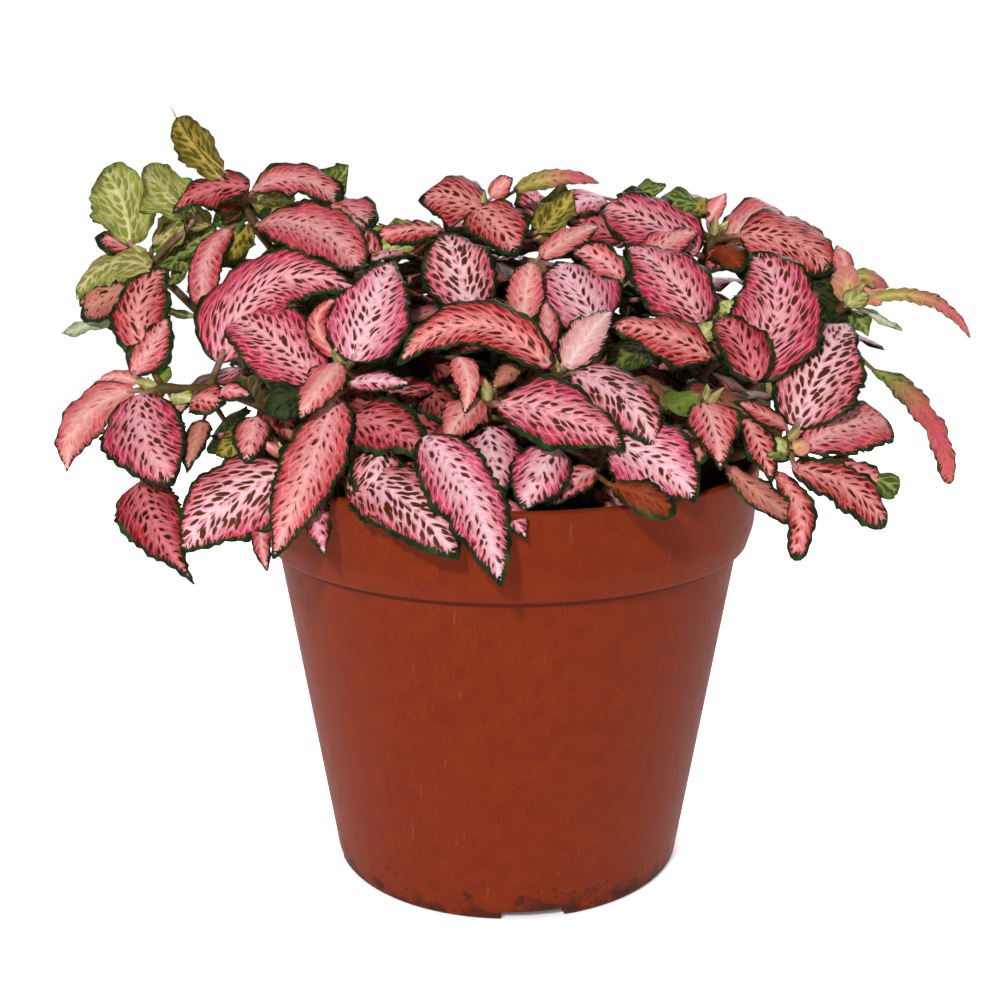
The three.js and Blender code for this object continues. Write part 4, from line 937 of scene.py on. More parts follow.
@dataclass(frozen=True)
class MouldedPolypropylene:
    """Terracotta-coloured polypropylene, injection moulded in a finely etched mould.

    The eye sees an even brick-red satin skin with a soft sheen at grazing angles, a faint
    mottle from the pigment, light handling scuffs, specks and smears of dried peat near the
    foot, and a thin line of painted shade under the rim band. The patterns' sizes and the
    heights are millimetres, and scuff_scale is the scuffs' fineness across and up the pot, per
    metre. A field that ends in _span holds the two values of its pattern that the effect
    changes between, and one that ends in _rise what is added to the pattern at the floor and at
    the top.
    """
    colour: str = "#681F05"
    light: str = "#74280B"
    scuff: str = "#B57058"
    # The peat's colour for specks and smears, and for the painted shade line under the rim band.
    dirt_and_step_shade: str = "#2A170E"
    roughness: Span = (0.5, 0.62)
    ior: float = 1.49
    sheen_level: float = 0.08
    mottle: float = 4.0
    etch: float = 0.5
    etch_share: float = 0.5
    light_span: Span = (0.5, 1.0)
    relief: float = 0.08
    relief_strength: float = 0.25
    scuff_scale: tuple[float, float, float] = (420.0, 420.0, 38.0)
    scuff_span: Span = (0.66, 0.78)
    scuff_share: float = 0.3
    speck: float = 0.8
    cluster: float = 9
    cluster_share: float = 0.45
    speck_top: float = 12.0
    speck_rise: Span = (0.11, -0.12)
    speck_span: Span = (0.93, 0.99)
    speck_share: float = 0.9
    smear: float = 5.0
    smear_top: float = 11.0
    smear_rise: Span = (0.18, -0.16)
    smear_span: Span = (0.56, 0.7)
    smear_share: float = 0.75
    # Painted shade line under the rim band: its height, half width and strength.
    step_shade_height: float = 80.3
    step_shade_width: float = 0.4
    step_shade_share: float = 0.5

    def material(self) -> bpy.types.Material:
        """Builds the material on object coordinates, the pot standing on the floor's level.

        Returns:
            The material.
        """
        material, tree = blank_material("moulded_polypropylene")
        place = add_node(tree, "ShaderNodeTexCoord").outputs["Object"]
        height = add_node(tree, "ShaderNodeSeparateXYZ", (place,)).outputs["Z"]
        mottle, etch = (
            add_node(tree, "ShaderNodeTexNoise", {
                "Vector": place, "Scale": 1 / (size * METRES_PER_MM), "Detail": detail})
            for size, detail in ((self.mottle, 4.0), (self.etch, 2.0)))
        mixed = add_node(tree, "ShaderNodeMath", (etch, self.etch_share, mottle),
                         operation="MULTIPLY_ADD")
        lighter = add_node(tree, "ShaderNodeMapRange", (mixed, *self.light_span))
        body = add_node(tree, "ShaderNodeMix", {
            0: lighter, 6: linear(self.colour), 7: linear(self.light)}, data_type="RGBA")

        # Scuffs are thin and mostly upright, where pots slide in and out of trays.
        drawn_out = add_node(tree, "ShaderNodeVectorMath", (place, self.scuff_scale),
                             operation="MULTIPLY")
        scuffs = add_node(tree, "ShaderNodeTexNoise", {
            "Vector": drawn_out, "Scale": 1.0, "Detail": 3.0, "Roughness": 0.7})
        scuffed = add_node(tree, "ShaderNodeMapRange", (
            scuffs, *self.scuff_span, 0.0, self.scuff_share))
        body = add_node(tree, "ShaderNodeMix", {0: scuffed, 6: body, 7: linear(self.scuff)},
                        data_type="RGBA")

        # Specks of peat lie in clusters, thickest at the foot and gone a centimetre or two up.
        specks, clusters = (
            add_node(tree, "ShaderNodeTexNoise", {
                "Vector": place, "Scale": 1 / (size * METRES_PER_MM), "Detail": detail})
            for size, detail in ((self.speck, 1.0), (self.cluster, 2.0)))
        low = add_node(tree, "ShaderNodeMapRange", (
            height, 0.0, self.speck_top * METRES_PER_MM, *self.speck_rise))
        gathered = add_node(tree, "ShaderNodeMath", (clusters, self.cluster_share, specks),
                            operation="MULTIPLY_ADD")
        dirty = add_node(tree, "ShaderNodeMath", (gathered, low), operation="ADD")
        soiled = add_node(tree, "ShaderNodeMapRange", (
            dirty, *self.speck_span, 0.0, self.speck_share))
        body = add_node(tree, "ShaderNodeMix", {0: soiled, 6: body, 7: linear(self.dirt_and_step_shade)},
                        data_type="RGBA")
        # Wet peat has dried in soft smears along the foot's edge.
        smears = add_node(tree, "ShaderNodeTexNoise", {
            "Vector": place, "Scale": 1 / (self.smear * METRES_PER_MM), "Detail": 3.0})
        near_foot = add_node(tree, "ShaderNodeMapRange", (
            height, 0.0, self.smear_top * METRES_PER_MM, *self.smear_rise))
        wetted = add_node(tree, "ShaderNodeMath", (smears, near_foot), operation="ADD")
        smeared = add_node(tree, "ShaderNodeMapRange", (
            wetted, *self.smear_span, 0.0, self.smear_share))
        body = add_node(tree, "ShaderNodeMix", {0: smeared, 6: body, 7: linear(self.dirt_and_step_shade)},
                        data_type="RGBA")
        # Painted shade: a thin dark line under the rim band's ledge, in the peat's dirt colour.
        in_step_shade = add_node(tree, "ShaderNodeMath", (
            height, self.step_shade_height * METRES_PER_MM, self.step_shade_width * METRES_PER_MM),
            operation="COMPARE")
        painted_step_shade = add_node(tree, "ShaderNodeMath", (in_step_shade, self.step_shade_share), operation="MULTIPLY")
        body = add_node(tree, "ShaderNodeMix", {0: painted_step_shade, 6: body, 7: linear(self.dirt_and_step_shade)},
                        data_type="RGBA")
        gloss = add_node(tree, "ShaderNodeMapRange", (mottle, *NOISE_SPAN, *self.roughness))
        bump = add_node(tree, "ShaderNodeBump", {
            "Height": etch, "Strength": self.relief_strength,
            "Distance": self.relief * METRES_PER_MM})
        surface = add_node(tree, "ShaderNodeBsdfPrincipled", {
            "Base Color": body, "Roughness": gloss, "IOR": self.ior, "Normal": bump,
            "Specular IOR Level": self.sheen_level})
        add_node(tree, "ShaderNodeOutputMaterial", {"Surface": surface})
        return material


@dataclass(frozen=True)
class StudioPaper:
    """Matt white paper that glows by itself, but for a painted shade round and under the pot.

    painted_shade_inner and painted_shade_outer are how far from the pot's axis the glow sets in and
    is full, in metres.
    """
    colour: str = "#F2F2F4"
    roughness: float = 0.9
    sheen_level: float = 0.1
    glow: float = 0.95
    painted_shade_inner: float = 0.0385
    painted_shade_outer: float = 0.0465

    def material(self, axis: np.ndarray) -> bpy.types.Material:
        """Builds the material: an even colour that glows, fading near the pot into painted shade.

        Args:
            axis: where the pot's axis stands in the row frame, in millimetres.

        Returns:
            The material.
        """
        material, tree = blank_material("matt_paper")
        place = add_node(tree, "ShaderNodeTexCoord").outputs["Object"]
        away = add_node(tree, "ShaderNodeVectorMath", (place, axis * METRES_PER_MM),
                        operation="DISTANCE")
        # Painted shade: the glow fades out near the pot's foot, and is none under it.
        glow = add_node(tree, "ShaderNodeMapRange", (
            away.outputs["Value"], self.painted_shade_inner, self.painted_shade_outer, 0.0, self.glow))
        surface = add_node(tree, "ShaderNodeBsdfPrincipled", {
            "Base Color": linear(self.colour), "Roughness": self.roughness,
            "Specular IOR Level": self.sheen_level, "Emission Color": linear(self.colour),
            "Emission Strength": glow})
        add_node(tree, "ShaderNodeOutputMaterial", {"Surface": surface})
        return material


# ---- Where things stand ----

@dataclass(frozen=True)
class ReferenceView:
    """The pinhole camera in front of the pot through which the plant is laid out.

    It stands at a distance in front of the pot's axis, and its pitch is how far it looks down.
    The focal length, centre and image side are pixels, the sensor and the rest millimetres.
    """
    distance: float = 360
    height: float = 179
    side: float = -1.86
    pitch: float = math.radians(15)
    focal: float = 1528
    centre_column: float = 500
    centre_row: float = 527
    image_side: float = 1000
    sensor: float = 36

    @property
    def eye(self) -> np.ndarray:
        """Where the camera stands."""
        return np.array((self.side, -self.distance, self.height))

    def point(self, place: Point, depth: float) -> np.ndarray:
        """Finds the point seen at a column and row, in the upright plane y = depth.

        Args:
            place: the column and row.
            depth: the plane's place behind the pot's axis.

        Returns:
            The point.
        """
        rise = math.atan((self.centre_row - place[1]) / self.focal) - self.pitch
        away = depth + self.distance
        height = away * math.tan(rise)
        along_view = away * math.cos(self.pitch) - height * math.sin(self.pitch)
        x = self.side + (place[0] - self.centre_column) / self.focal * along_view
        return np.array((x, depth, self.height + height))

    def place_of(self, point: np.ndarray) -> Point:
        """Returns the column and row at which a point is seen.

        Args:
            point: the point.

        Returns:
            The column and row.
        """
        away, height = point[1] + self.distance, point[2] - self.height
        along_view = away * math.cos(self.pitch) - height * math.sin(self.pitch)
        column = self.centre_column + (point[0] - self.side) * self.focal / along_view
        row = self.centre_row - self.focal * math.tan(math.atan2(height, away) + self.pitch)
        return column, row

    def add_camera(self, axis: np.ndarray) -> bpy.types.Object:
        """Sets up the scene's camera with the reference view's place, tilt and lens.

        Args:
            axis: where the pot's axis stands in the row frame, in millimetres.

        Returns:
            The camera.
        """
        data = bpy.data.cameras.new("reference_camera")
        data.sensor_width = self.sensor
        data.lens = self.focal * self.sensor / self.image_side
        data.shift_y = (self.centre_row - self.image_side / 2) / self.image_side
        data.clip_start, data.clip_end = 0.01, 20
        camera = bpy.data.objects.new("reference_camera", data)
        camera.location = (self.eye + axis) * METRES_PER_MM
        camera.rotation_euler = (math.pi / 2 - self.pitch, 0, 0)
        bpy.context.scene.collection.objects.link(camera)
        bpy.context.scene.camera = camera
        return camera


@dataclass(frozen=True)
class Mound:
    """The rounded mound that the foliage makes, which gives each leaf its depth and lean.

    Sizes are millimetres. centre and radii are those of the round body that leaves face out of.
    Its seen side lies at front in the view's front_row, and goes back by slope and curve for
    each row up, and by side towards either side, at most to back. A layer lies layer_depth
    behind the one over it.
    """
    centre: tuple[float, float, float] = (0, 10, 88)
    radii: tuple[float, float, float] = (108, 86, 70)
    front: float = -63
    front_row: float = 512
    back: float = 20
    slope: float = 0.17
    curve: float = 0.00027
    side: float = 34
    layer_depth: float = 4.5
    middle_column: float = 500
    pixels_per_mm: float = 4.3

    def depth(self, place: Point) -> float:
        """Returns how deep the mound's surface lies at a column and row of the view.

        Args:
            place: the column and row.

        Returns:
            The depth, larger further back.
        """
        up = self.front_row - place[1]
        aside = (place[0] - self.middle_column) / self.pixels_per_mm / self.radii[0]
        depth = self.front + self.slope * up + self.curve * up * abs(up)
        return min(depth + self.side * aside ** 2, self.back)

    def near(self, view: ReferenceView, place: Point, layer: float, known: Point,
             known_depth: float, slant: float) -> tuple[float, np.ndarray]:
        """Places a point as deep as a known one, but for the mound's own limited slant.

        Args:
            view: the reference view.
            place: the point's column and row.
            layer: how many leaves lie over it.
            known: the column and row of the known point.
            known_depth: the known point's depth before its layer.
            slant: the most that depth may change for each millimetre across the view.

        Returns:
            The point's depth before its layer, and the point.
        """
        most = slant * math.dist(place, known) / self.pixels_per_mm
        change = self.depth(place) - self.depth(known)
        depth = known_depth + min(max(change, -most), most)
        return depth, view.point(place, depth + layer * self.layer_depth)

    def outward(self, point: np.ndarray) -> np.ndarray:
        """Returns the direction that faces out of the mound at a point."""
        return unit((point - self.centre) / np.square(self.radii))


@dataclass
class SmoothLine:
    """A line that curves through its points, each step sized by the root of its length."""
    points: np.ndarray
    divisions: int = 200

    def at(self, share: np.ndarray) -> np.ndarray:
        """Evaluates the line: a cubic between each two points, with their slopes from neighbours.

        Args:
            share: places on the line from 0 to 1, even in steps and not in length.

        Returns:
            The points there.
        """
        known = self.points
        ends = np.concatenate([2 * known[:1] - known[1:2], known, 2 * known[-1:] - known[-2:-1]])
        along = share * (len(known) - 1)
        step = np.minimum(np.floor(along).astype(int), len(known) - 2)
        part = (along - step)[:, None]
        p0, p1, p2, p3 = (ends[step + k] for k in range(4))
        t0, t1, t2 = (np.sqrt(np.linalg.norm(b - a, axis=1, keepdims=True))
                      for a, b in ((p0, p1), (p1, p2), (p2, p3)))
        slope1 = ((p1 - p0) / t0 - (p2 - p0) / (t0 + t1) + (p2 - p1) / t1) * t1
        slope2 = ((p2 - p1) / t1 - (p3 - p1) / (t1 + t2) + (p3 - p2) / t2) * t1
        square = -3 * p1 + 3 * p2 - 2 * slope1 - slope2
        cube = 2 * p1 - 2 * p2 + slope1 + slope2
        return p1 + slope1 * part + square * part ** 2 + cube * part ** 3

    def spaced(self, share: np.ndarray) -> np.ndarray:
        """Returns the points at shares of the line's length.

        Args:
            share: the shares, from 0 to 1.

        Returns:
            The points there.
        """
        steps = np.linspace(0, 1, self.divisions + 1)
        apart = np.linalg.norm(np.diff(self.at(steps), axis=0), axis=1)
        length = np.concatenate([[0], np.cumsum(apart)])
        return self.at(np.interp(share * length[-1], length, steps))


# ---- Leaves ----

class Chance(IntEnum):
    """What a repeatable number is drawn for. Kinds in threes make a direction."""
    BOW = 1
    ARCH = 2
    FOLD = 3
    PHASE = 4
    YAW = 5
    DROOP = 6
    SIZE = 7
    FIRST_TURN = 8
    LOOK = 11
    LEFT_MARGIN = 12
    RIGHT_MARGIN = 13
    LIGHT = 14
    RIM = 15
    BLUNT = 16
    INNER_LENGTH = 17
    INNER_WIDTH = 18
    BUD = 20
    THROW = 21
    LEAN = 24
    WAY = 27


def drawn(place: int, kind: Chance, least: float, more: float) -> float:
    """Draws a repeatable number from least to least plus more."""
    return least + more * draw(place, kind)


def draw_way(place: int, kind: Chance) -> np.ndarray:
    """Draws three repeatable numbers from -0.5 to 0.5, of a kind and the two after it."""
    return np.array([draw(place, kind + i) - 0.5 for i in range(3)])


class Detail(Enum):
    """How fine a blade's mesh is: its rows' spacing in millimetres, and its columns across."""
    FINE = (0.75, (1.0, 0.95, 0.86, 0.73, 0.58, 0.42, 0.27, 0.14, 0.05, 0.0))
    INNER = (1.15, (1.0, 0.9, 0.68, 0.44, 0.2, 0.0))
    BUD = (0.75, (1.0, 0.7, 0.3, 0.0))


@dataclass(frozen=True)
class BladeForm:
    """What all blades have in common. Sizes are millimetres, and the rest shares or powers.

    solid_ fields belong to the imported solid's plain blade, and the others to the fine one. Where
    chance has a say, a pair holds the least value and how much more there may be. Teeth, lobes
    and ripples have their full size on a blade of full_width or more, and lobes and ripples grow
    by raggedness on a leaf that shows its lower side.
    """
    bow_spread: float = 0.06
    blunt: Span = (0.76, 0.3)
    arch: Span = (0.05, 0.05)
    fold: Span = (-0.12, 0.34)
    solid_powers: Span = (0.62, 0.9)
    solid_thickness: float = 0.7
    solid_tooth: float = 0.05
    solid_stations: tuple[tuple[float, int], ...] = ((11, 3), (24, 4), (math.inf, 5))
    wave: float = 0.1
    wave_turns: float = 9
    foot_power: float = 0.56
    widening: float = 1.1
    row_limits: tuple[int, int] = (8, 56)
    even_rows: float = 0.6
    thickness: float = 0.34
    margin_thickness: float = 0.1
    ridge: float = 0.5
    ridge_width: float = 0.06
    full_width: float = 10
    tooth: float = 0.85
    tooth_length: float = 2.7
    tooth_sides: Span = (0.72, 0.28)
    tooth_middle: float = 0.55
    raggedness: float = 1.7
    lobe: float = 2.1
    lobe_length: float = 4.2
    swell: float = 0.16
    swell_length: float = 11.0
    relief_rows: Span = (3.5, 8.5)
    ripple: float = 0.75
    ripple_length: float = 7.5
    puff: float = 0.17
    cup_power: float = 1.3
    margin_droop: float = 0.14
    tip_curl: float = 0.05
    curled_part: float = 0.3
    vein_lean: float = 1.0
    vein_curve: float = 0.05
    vein_rows: float = 8
    vein_spacing: float = 2.2
    pattern_shrink: Span = (1.3, 0.72)
    pattern_step: float = 34.0
    pattern_places: int = 97
    rim_full_width: float = 9
    least_rim: float = 0.5
    tip_rim: float = 0.6
    foot_part: float = 0.35
    foot_rim: float = 2.4
    bud_rim: float = 9
    tip_turn: float = 0.4
    light: float = 0.93
    light_spread: float = 0.16
    # Painted shade on the inner leaves: how much darker they are, and their colours' olive tint.
    inner_shade: float = 0.62
    inner_shade_tint: Point = (1.0, 0.93, 0.76)
    rim: Span = (0.8, 0.5)
    cells_from: float = 2.5
    cells_over: float = 4
    least_cells: float = 0.35
    stalk_radius: float = 0.28
    stalk_growth: float = 0.035
    stalk_taper: Span = (1.25, 0.45)
    stalk_along: float = 0.3
    stalk_into: float = 0.06
    stalk_pull: float = 0.8
    stalk_steps: int = 11
    stalk_corners: int = 8
    stalk_low: str = "#5E5228"
    stalk_flesh: str = "#8A5238"


@dataclass
class Leaf:
    """One leaf: where it stands, how its blade is shaped, and its stalk to the stem.

    The plain and the fine blade have an outline of half the width times u to a first power times
    (1 - u) to a second, over that product's largest value, at a share u of the length. The fine
    blade's second power is blunt, and it is broad times as wide. Sizes are millimetres.
    """
    foot: np.ndarray
    tip: np.ndarray
    facing: np.ndarray
    width: float
    place: int
    look: Look
    under: bool = False
    bow: float | None = None
    turn: float = 0
    detail: Detail = Detail.FINE
    broad: float = 1
    blunt: float | None = None
    swing: float = 0
    nudge: Point = (0, 0, 0)
    tuck: Point = (0, 0, 0)
    form: BladeForm = BladeForm()

    def __post_init__(self) -> None:
        """Draws the shape that the leaf's place in the plant gives it."""
        form = self.form
        if self.bow is None:
            self.bow = form.bow_spread * (draw(self.place, Chance.BOW) - 0.5)
        if self.blunt is None:
            self.blunt = drawn(self.place, Chance.BLUNT, *form.blunt)
        self.arch = drawn(self.place, Chance.ARCH, *form.arch)
        self.fold = drawn(self.place, Chance.FOLD, *form.fold)
        self.phase = 6.28 * draw(self.place, Chance.PHASE)

    @property
    def length(self) -> float:
        """The blade's length from foot to tip in a straight line."""
        return float(np.linalg.norm(self.tip - self.foot))

    @property
    def tones(self) -> tuple[Tone, Tone]:
        """The tones of the blade's upper and lower side."""
        return (Look.PINK.value, self.look.value) if self.under else (
            self.look.value, Look.BACK.value)

    def axes(self) -> tuple[np.ndarray, np.ndarray, np.ndarray]:
        """Works out the blade's own directions: the normal is the facing, squared to the length.

        Returns:
            The directions along the blade, to its left, and out of its upper side.
        """
        along = unit(self.tip - self.foot)
        out = unit(self.facing - dot(self.facing, along) * along)
        turn = math.radians(self.turn)
        out = out * math.cos(turn) + np.cross(along, out) * math.sin(turn)
        return along, np.cross(out, along), out

    def bent(self, at_foot: float, at_tip: float) -> "Leaf":
        """Returns the leaf with its foot and tip moved along its normal."""
        out = self.axes()[2]
        return replace(self, foot=self.foot + out * at_foot, tip=self.tip + out * at_tip)

    def shown(self) -> "Leaf":
        """Returns the leaf moved by its nudge, tucked and swung, as its fine blade stands."""
        return replace(self, foot=self.foot + self.nudge, tip=self.tip + self.nudge + self.tuck,
                       bow=self.bow + self.swing, nudge=(0, 0, 0), tuck=(0, 0, 0), swing=0)

    def half_width(self, u: np.ndarray, powers: Span) -> np.ndarray:
        """Works out the outline: u and 1 - u to their powers, over their product's largest value.

        Args:
            u: shares of the blade's length.
            powers: the power that the foot widens with, and the one that the tip narrows with.

        Returns:
            Half the blade's width there.
        """
        rise, fall = powers
        widest = round(rise / (rise + fall), 2)
        most = widest ** rise * (1 - widest) ** fall
        return self.width / 2 * u ** rise * np.maximum(1 - u, 0) ** fall / most

    def midline(self, u: np.ndarray) -> tuple[np.ndarray, np.ndarray, np.ndarray, np.ndarray]:
        """Works out the midrib: the chord plus 4 u (1 - u) times the arch out and the bow aside.

        Args:
            u: shares of the blade's length.

        Returns:
            The middle points, and there the directions to the left, up and along.
        """
        along, side, out = self.axes()
        u = u[:, None]
        swing = self.length * 4 * u * (1 - u)
        middle = self.foot + along * self.length * u + swing * (out * self.arch + side * self.bow)
        tangent = unit(along + 4 * (1 - 2 * u) * (out * self.arch + side * self.bow))
        up = unit(out - dot(np.broadcast_to(out, tangent.shape), tangent) * tangent)
        return middle, np.cross(up, tangent), up, tangent

    def lift(self, u: np.ndarray, left: bool) -> np.ndarray:
        """Returns how far a margin stands over the midrib, as a share of the half width."""
        turns = self.form.wave_turns * u + self.phase + (0 if left else 2)
        return self.fold + self.form.wave * np.sin(turns)

    def solid_points(self) -> np.ndarray:
        """Works out where the leaf's plain solid has its vertices.

        Returns:
            The vertices, but for those at the leaf's foot.
        """
        form = self.form
        stations = next(count for limit, count in form.solid_stations if self.length < limit)
        i = np.arange(1, stations + 1)
        u = i / stations
        middle, left, up, _ = self.midline(u)
        teeth = 1 + form.solid_tooth * np.where(i % 2, 1, -1)
        half = self.half_width(u, form.solid_powers) * teeth
        rows = [middle]
        for sign, is_left in ((1, True), (-1, False)):
            rise = (half * self.lift(u, is_left))[:, None]
            rows.append((middle + sign * left * half[:, None] + up * rise)[:-1])
        ups = [up, up[:-1], up[:-1]]
        faces = [row + sign * row_up * form.solid_thickness / 2
                 for row, row_up in zip(rows, ups) for sign in (1, -1)]
        return np.concatenate(faces)

    def grid(self) -> tuple[np.ndarray, np.ndarray, np.ndarray]:
        """Lays out the fine blade's rings, closer together towards its foot and tip.

        Returns:
            The shares u of the length, the shares w across of each ring's corners, and 1 for
            the corners on the upper skin, -1 on the lower and 0 on the margins.
        """
        row_spacing, columns = self.detail.value
        rows = int(np.clip(round(self.length / row_spacing), *self.form.row_limits))
        even = np.arange(1, rows) / rows
        crowded = 0.5 - 0.5 * np.cos(math.pi * even)
        u = self.form.even_rows * even + (1 - self.form.even_rows) * crowded
        half_columns = np.array(columns)
        across = np.concatenate([half_columns, -half_columns[-2::-1]])
        ring = np.concatenate([across, across[-2:0:-1]])
        upper = np.concatenate([np.ones(len(across)), -np.ones(len(across) - 2)])
        upper[[0, len(across) - 1]] = 0
        return u, ring, upper

    def blade(self) -> Shell:
        """Builds the fine blade as a closed skin of rings round its midrib.

        At a share u of the length and w across, from -1 to 1, the sheet stands w times the half
        width to the left and |w| to the cup power times the lift up. Slow swells widen it, lobes
        and teeth that rise slowly and fall fast carry its margin out and in, a ripple lifts the
        margin, and the flesh puffs between side veins. Half the thickness goes up and half down,
        with a ridge under the midrib.

        Returns:
            The shell, with the attributes that the leaf material reads.
        """
        form = self.form
        u, ring, upper = self.grid()
        grid_u, w = np.meshgrid(u, ring, indexing="ij")
        is_left, share = w > 0, np.abs(w)
        mm = grid_u * self.length

        middle, left, up, tangent = (v[:, None] for v in self.midline(u))
        shift = np.where(is_left, draw(self.place, Chance.LEFT_MARGIN),
                         draw(self.place, Chance.RIGHT_MARGIN))
        side_row = np.where(is_left, *form.relief_rows) + 0 * mm
        swell = lumps(mm / form.swell_length + 20 * shift, side_row, 1.0, self.place + 7) - 0.5
        lobe = lumps(mm / form.lobe_length + 50 * shift, side_row, 1.0, self.place) - 0.5
        step = np.modf(mm / form.tooth_length + shift + 9)[0]
        rising, falling = form.tooth_sides
        saw = np.minimum(step / rising, (1 - step) / falling) - form.tooth_middle
        wave = np.sin(2 * math.pi * (mm / form.ripple_length + shift)) * share ** 3

        ends = np.sqrt(np.sin(math.pi * grid_u))
        scale = min(self.width / form.full_width, 1) * ends
        raggedness = form.raggedness if self.under else 1
        half = self.broad * form.widening * self.half_width(grid_u, (form.foot_power, self.blunt))
        half = half * (1 + form.swell * 2 * swell)
        reach = share * half + share ** 4 * scale * (
            form.tooth * saw + raggedness * form.lobe * lobe)
        vein = mm - form.vein_lean * share * half - form.vein_curve * (share * half) ** 2
        spacing = max(self.length / form.vein_rows, form.vein_spacing)
        puffed = form.puff * np.abs(np.sin(math.pi * vein / spacing)) * np.sin(math.pi * share)
        lift = np.where(is_left, self.lift(grid_u, True), self.lift(grid_u, False))
        rise = half * (lift * share ** form.cup_power - form.margin_droop * share ** 3)
        rise = rise + scale * (raggedness * form.ripple * wave + puffed)
        curled = np.maximum(grid_u - (1 - form.curled_part), 0) ** 2 / form.curled_part ** 2
        curl = -form.tip_curl * self.length * curled
        body = form.thickness - (form.thickness - form.margin_thickness) * share ** 2
        ridge = form.ridge * np.exp(-(share / form.ridge_width) ** 2) * (1 - grid_u) ** 0.6
        half_body = upper * body / 2 - (upper < 0) * ridge
        up_by = (rise + curl + half_body * np.sqrt(ends))[..., None]
        points = middle + left * (np.sign(w) * reach)[..., None] + up * up_by
        end = middle[-1, 0] + tangent[-1, 0] * self.length * (1 - u[-1]) + up[-1, 0] * curl[-1, 0]
        shell = closed_skin(points, self.foot, end)

        shell.traits = {key: self.with_poles(value) for key, value in {
            "vein_place": self.vein_places(vein, w, half),
            "leaf_zone": self.zones(grid_u, share, half),
            **self.colours(grid_u, upper >= 0)}.items()}
        return shell

    def vein_places(self, vein: np.ndarray, w: np.ndarray, half: np.ndarray) -> np.ndarray:
        """Works out where the vein pattern is read: in millimetres along and across the veins.

        Args:
            vein: how far along the midrib each point's side vein leaves it.
            w: the share across of each point.
            half: half the blade's width there.

        Returns:
            The place in the pattern, far from those of other leaves, and the heart's spread.
        """
        form = self.form
        offset = form.pattern_step * (self.place % form.pattern_places)
        across, along = form.pattern_shrink
        return np.stack([vein * along + offset, np.sign(w) * np.abs(w) * half * across + offset,
                         np.full_like(w, self.look.value.spread)], axis=-1)

    def zones(self, u: np.ndarray, share: np.ndarray, half: np.ndarray) -> np.ndarray:
        """Measures how far each point is from the margin and from the midrib.

        Args:
            u: the share of the length at each point.
            share: the share of the half width.
            half: half the blade's width there.

        Returns:
            The distance to the margin, as the width of the leaf's green rim is measured, the
            distance to the midrib, and the share of the half width.
        """
        form = self.form
        edge = np.minimum((1 - share) * half, form.tip_rim * (self.length - u * self.length))
        edge = edge + np.where(u < form.foot_part, np.maximum(form.foot_rim - half, 0), 0)
        edge = edge / np.clip(self.width / form.rim_full_width, form.least_rim, 1)
        edge = edge + (form.bud_rim if self.detail is Detail.BUD else 0)
        return np.stack([edge, share * half, share], axis=-1)

    def colours(self, u: np.ndarray, on_top: np.ndarray) -> dict[str, np.ndarray]:
        """Spreads the upper side's tone over its points, and the lower side's over the others.

        Args:
            u: the share of the length at each point of the grid.
            on_top: whether each corner of a ring is on the upper side.

        Returns:
            The material's colour and nature attributes at each point.
        """
        above, below = (self.tone_arrays(tone, u) for tone in self.tones)
        return {key: np.where(on_top[None, :, None], above[key], below[key]) for key in above}

    def tone_arrays(self, tone: Tone, u: np.ndarray) -> dict[str, np.ndarray]:
        """Spreads a tone over the blade, turning evenly to its tip colour in a part of the length.

        Args:
            tone: the colours of one side.
            u: the share of the length at each point of the grid.

        Returns:
            The material's colour and nature attributes at each point.
        """
        form, inner = self.form, self.detail is Detail.INNER
        everywhere = np.ones((*u.shape, 1))
        to_tip = np.clip((u - tone.turns_at) / form.tip_turn, 0, 1)[..., None]
        light = form.light + form.light_spread * (draw(self.place, Chance.LIGHT) - 0.5)
        # Painted shade: inner leaves are darkened, and their colours tinted olive below.
        if inner:
            light *= form.inner_shade
        found = {}
        for key in ("heart", "blush", "mark"):
            base = np.array(linear(getattr(tone, key))) * everywhere
            if tone.tip and key != "mark":
                base = base * (1 - to_tip) + np.array(linear(tone.tip)) * to_tip
            if inner:
                base = base * np.array((*form.inner_shade_tint, 1.0))
            found["leaf_" + key] = base
        found["leaf_margin"] = np.array(linear(tone.margin)) * everywhere
        grown = (self.width - form.cells_from) / form.cells_over
        cells = tone.cells * float(np.clip(grown, form.least_cells, 1))
        rim = tone.rim * drawn(self.place, Chance.RIM, *form.rim)
        found["leaf_nature"] = np.array((cells, rim, light)) * everywhere
        return found

    @staticmethod
    def with_poles(values: np.ndarray) -> np.ndarray:
        """Gives a grid's values to the shell's points, the poles taking their nearest ring's."""
        width = values.shape[-1]
        return np.concatenate([values[0, :1], values.reshape(-1, width), values[-1, :1]])

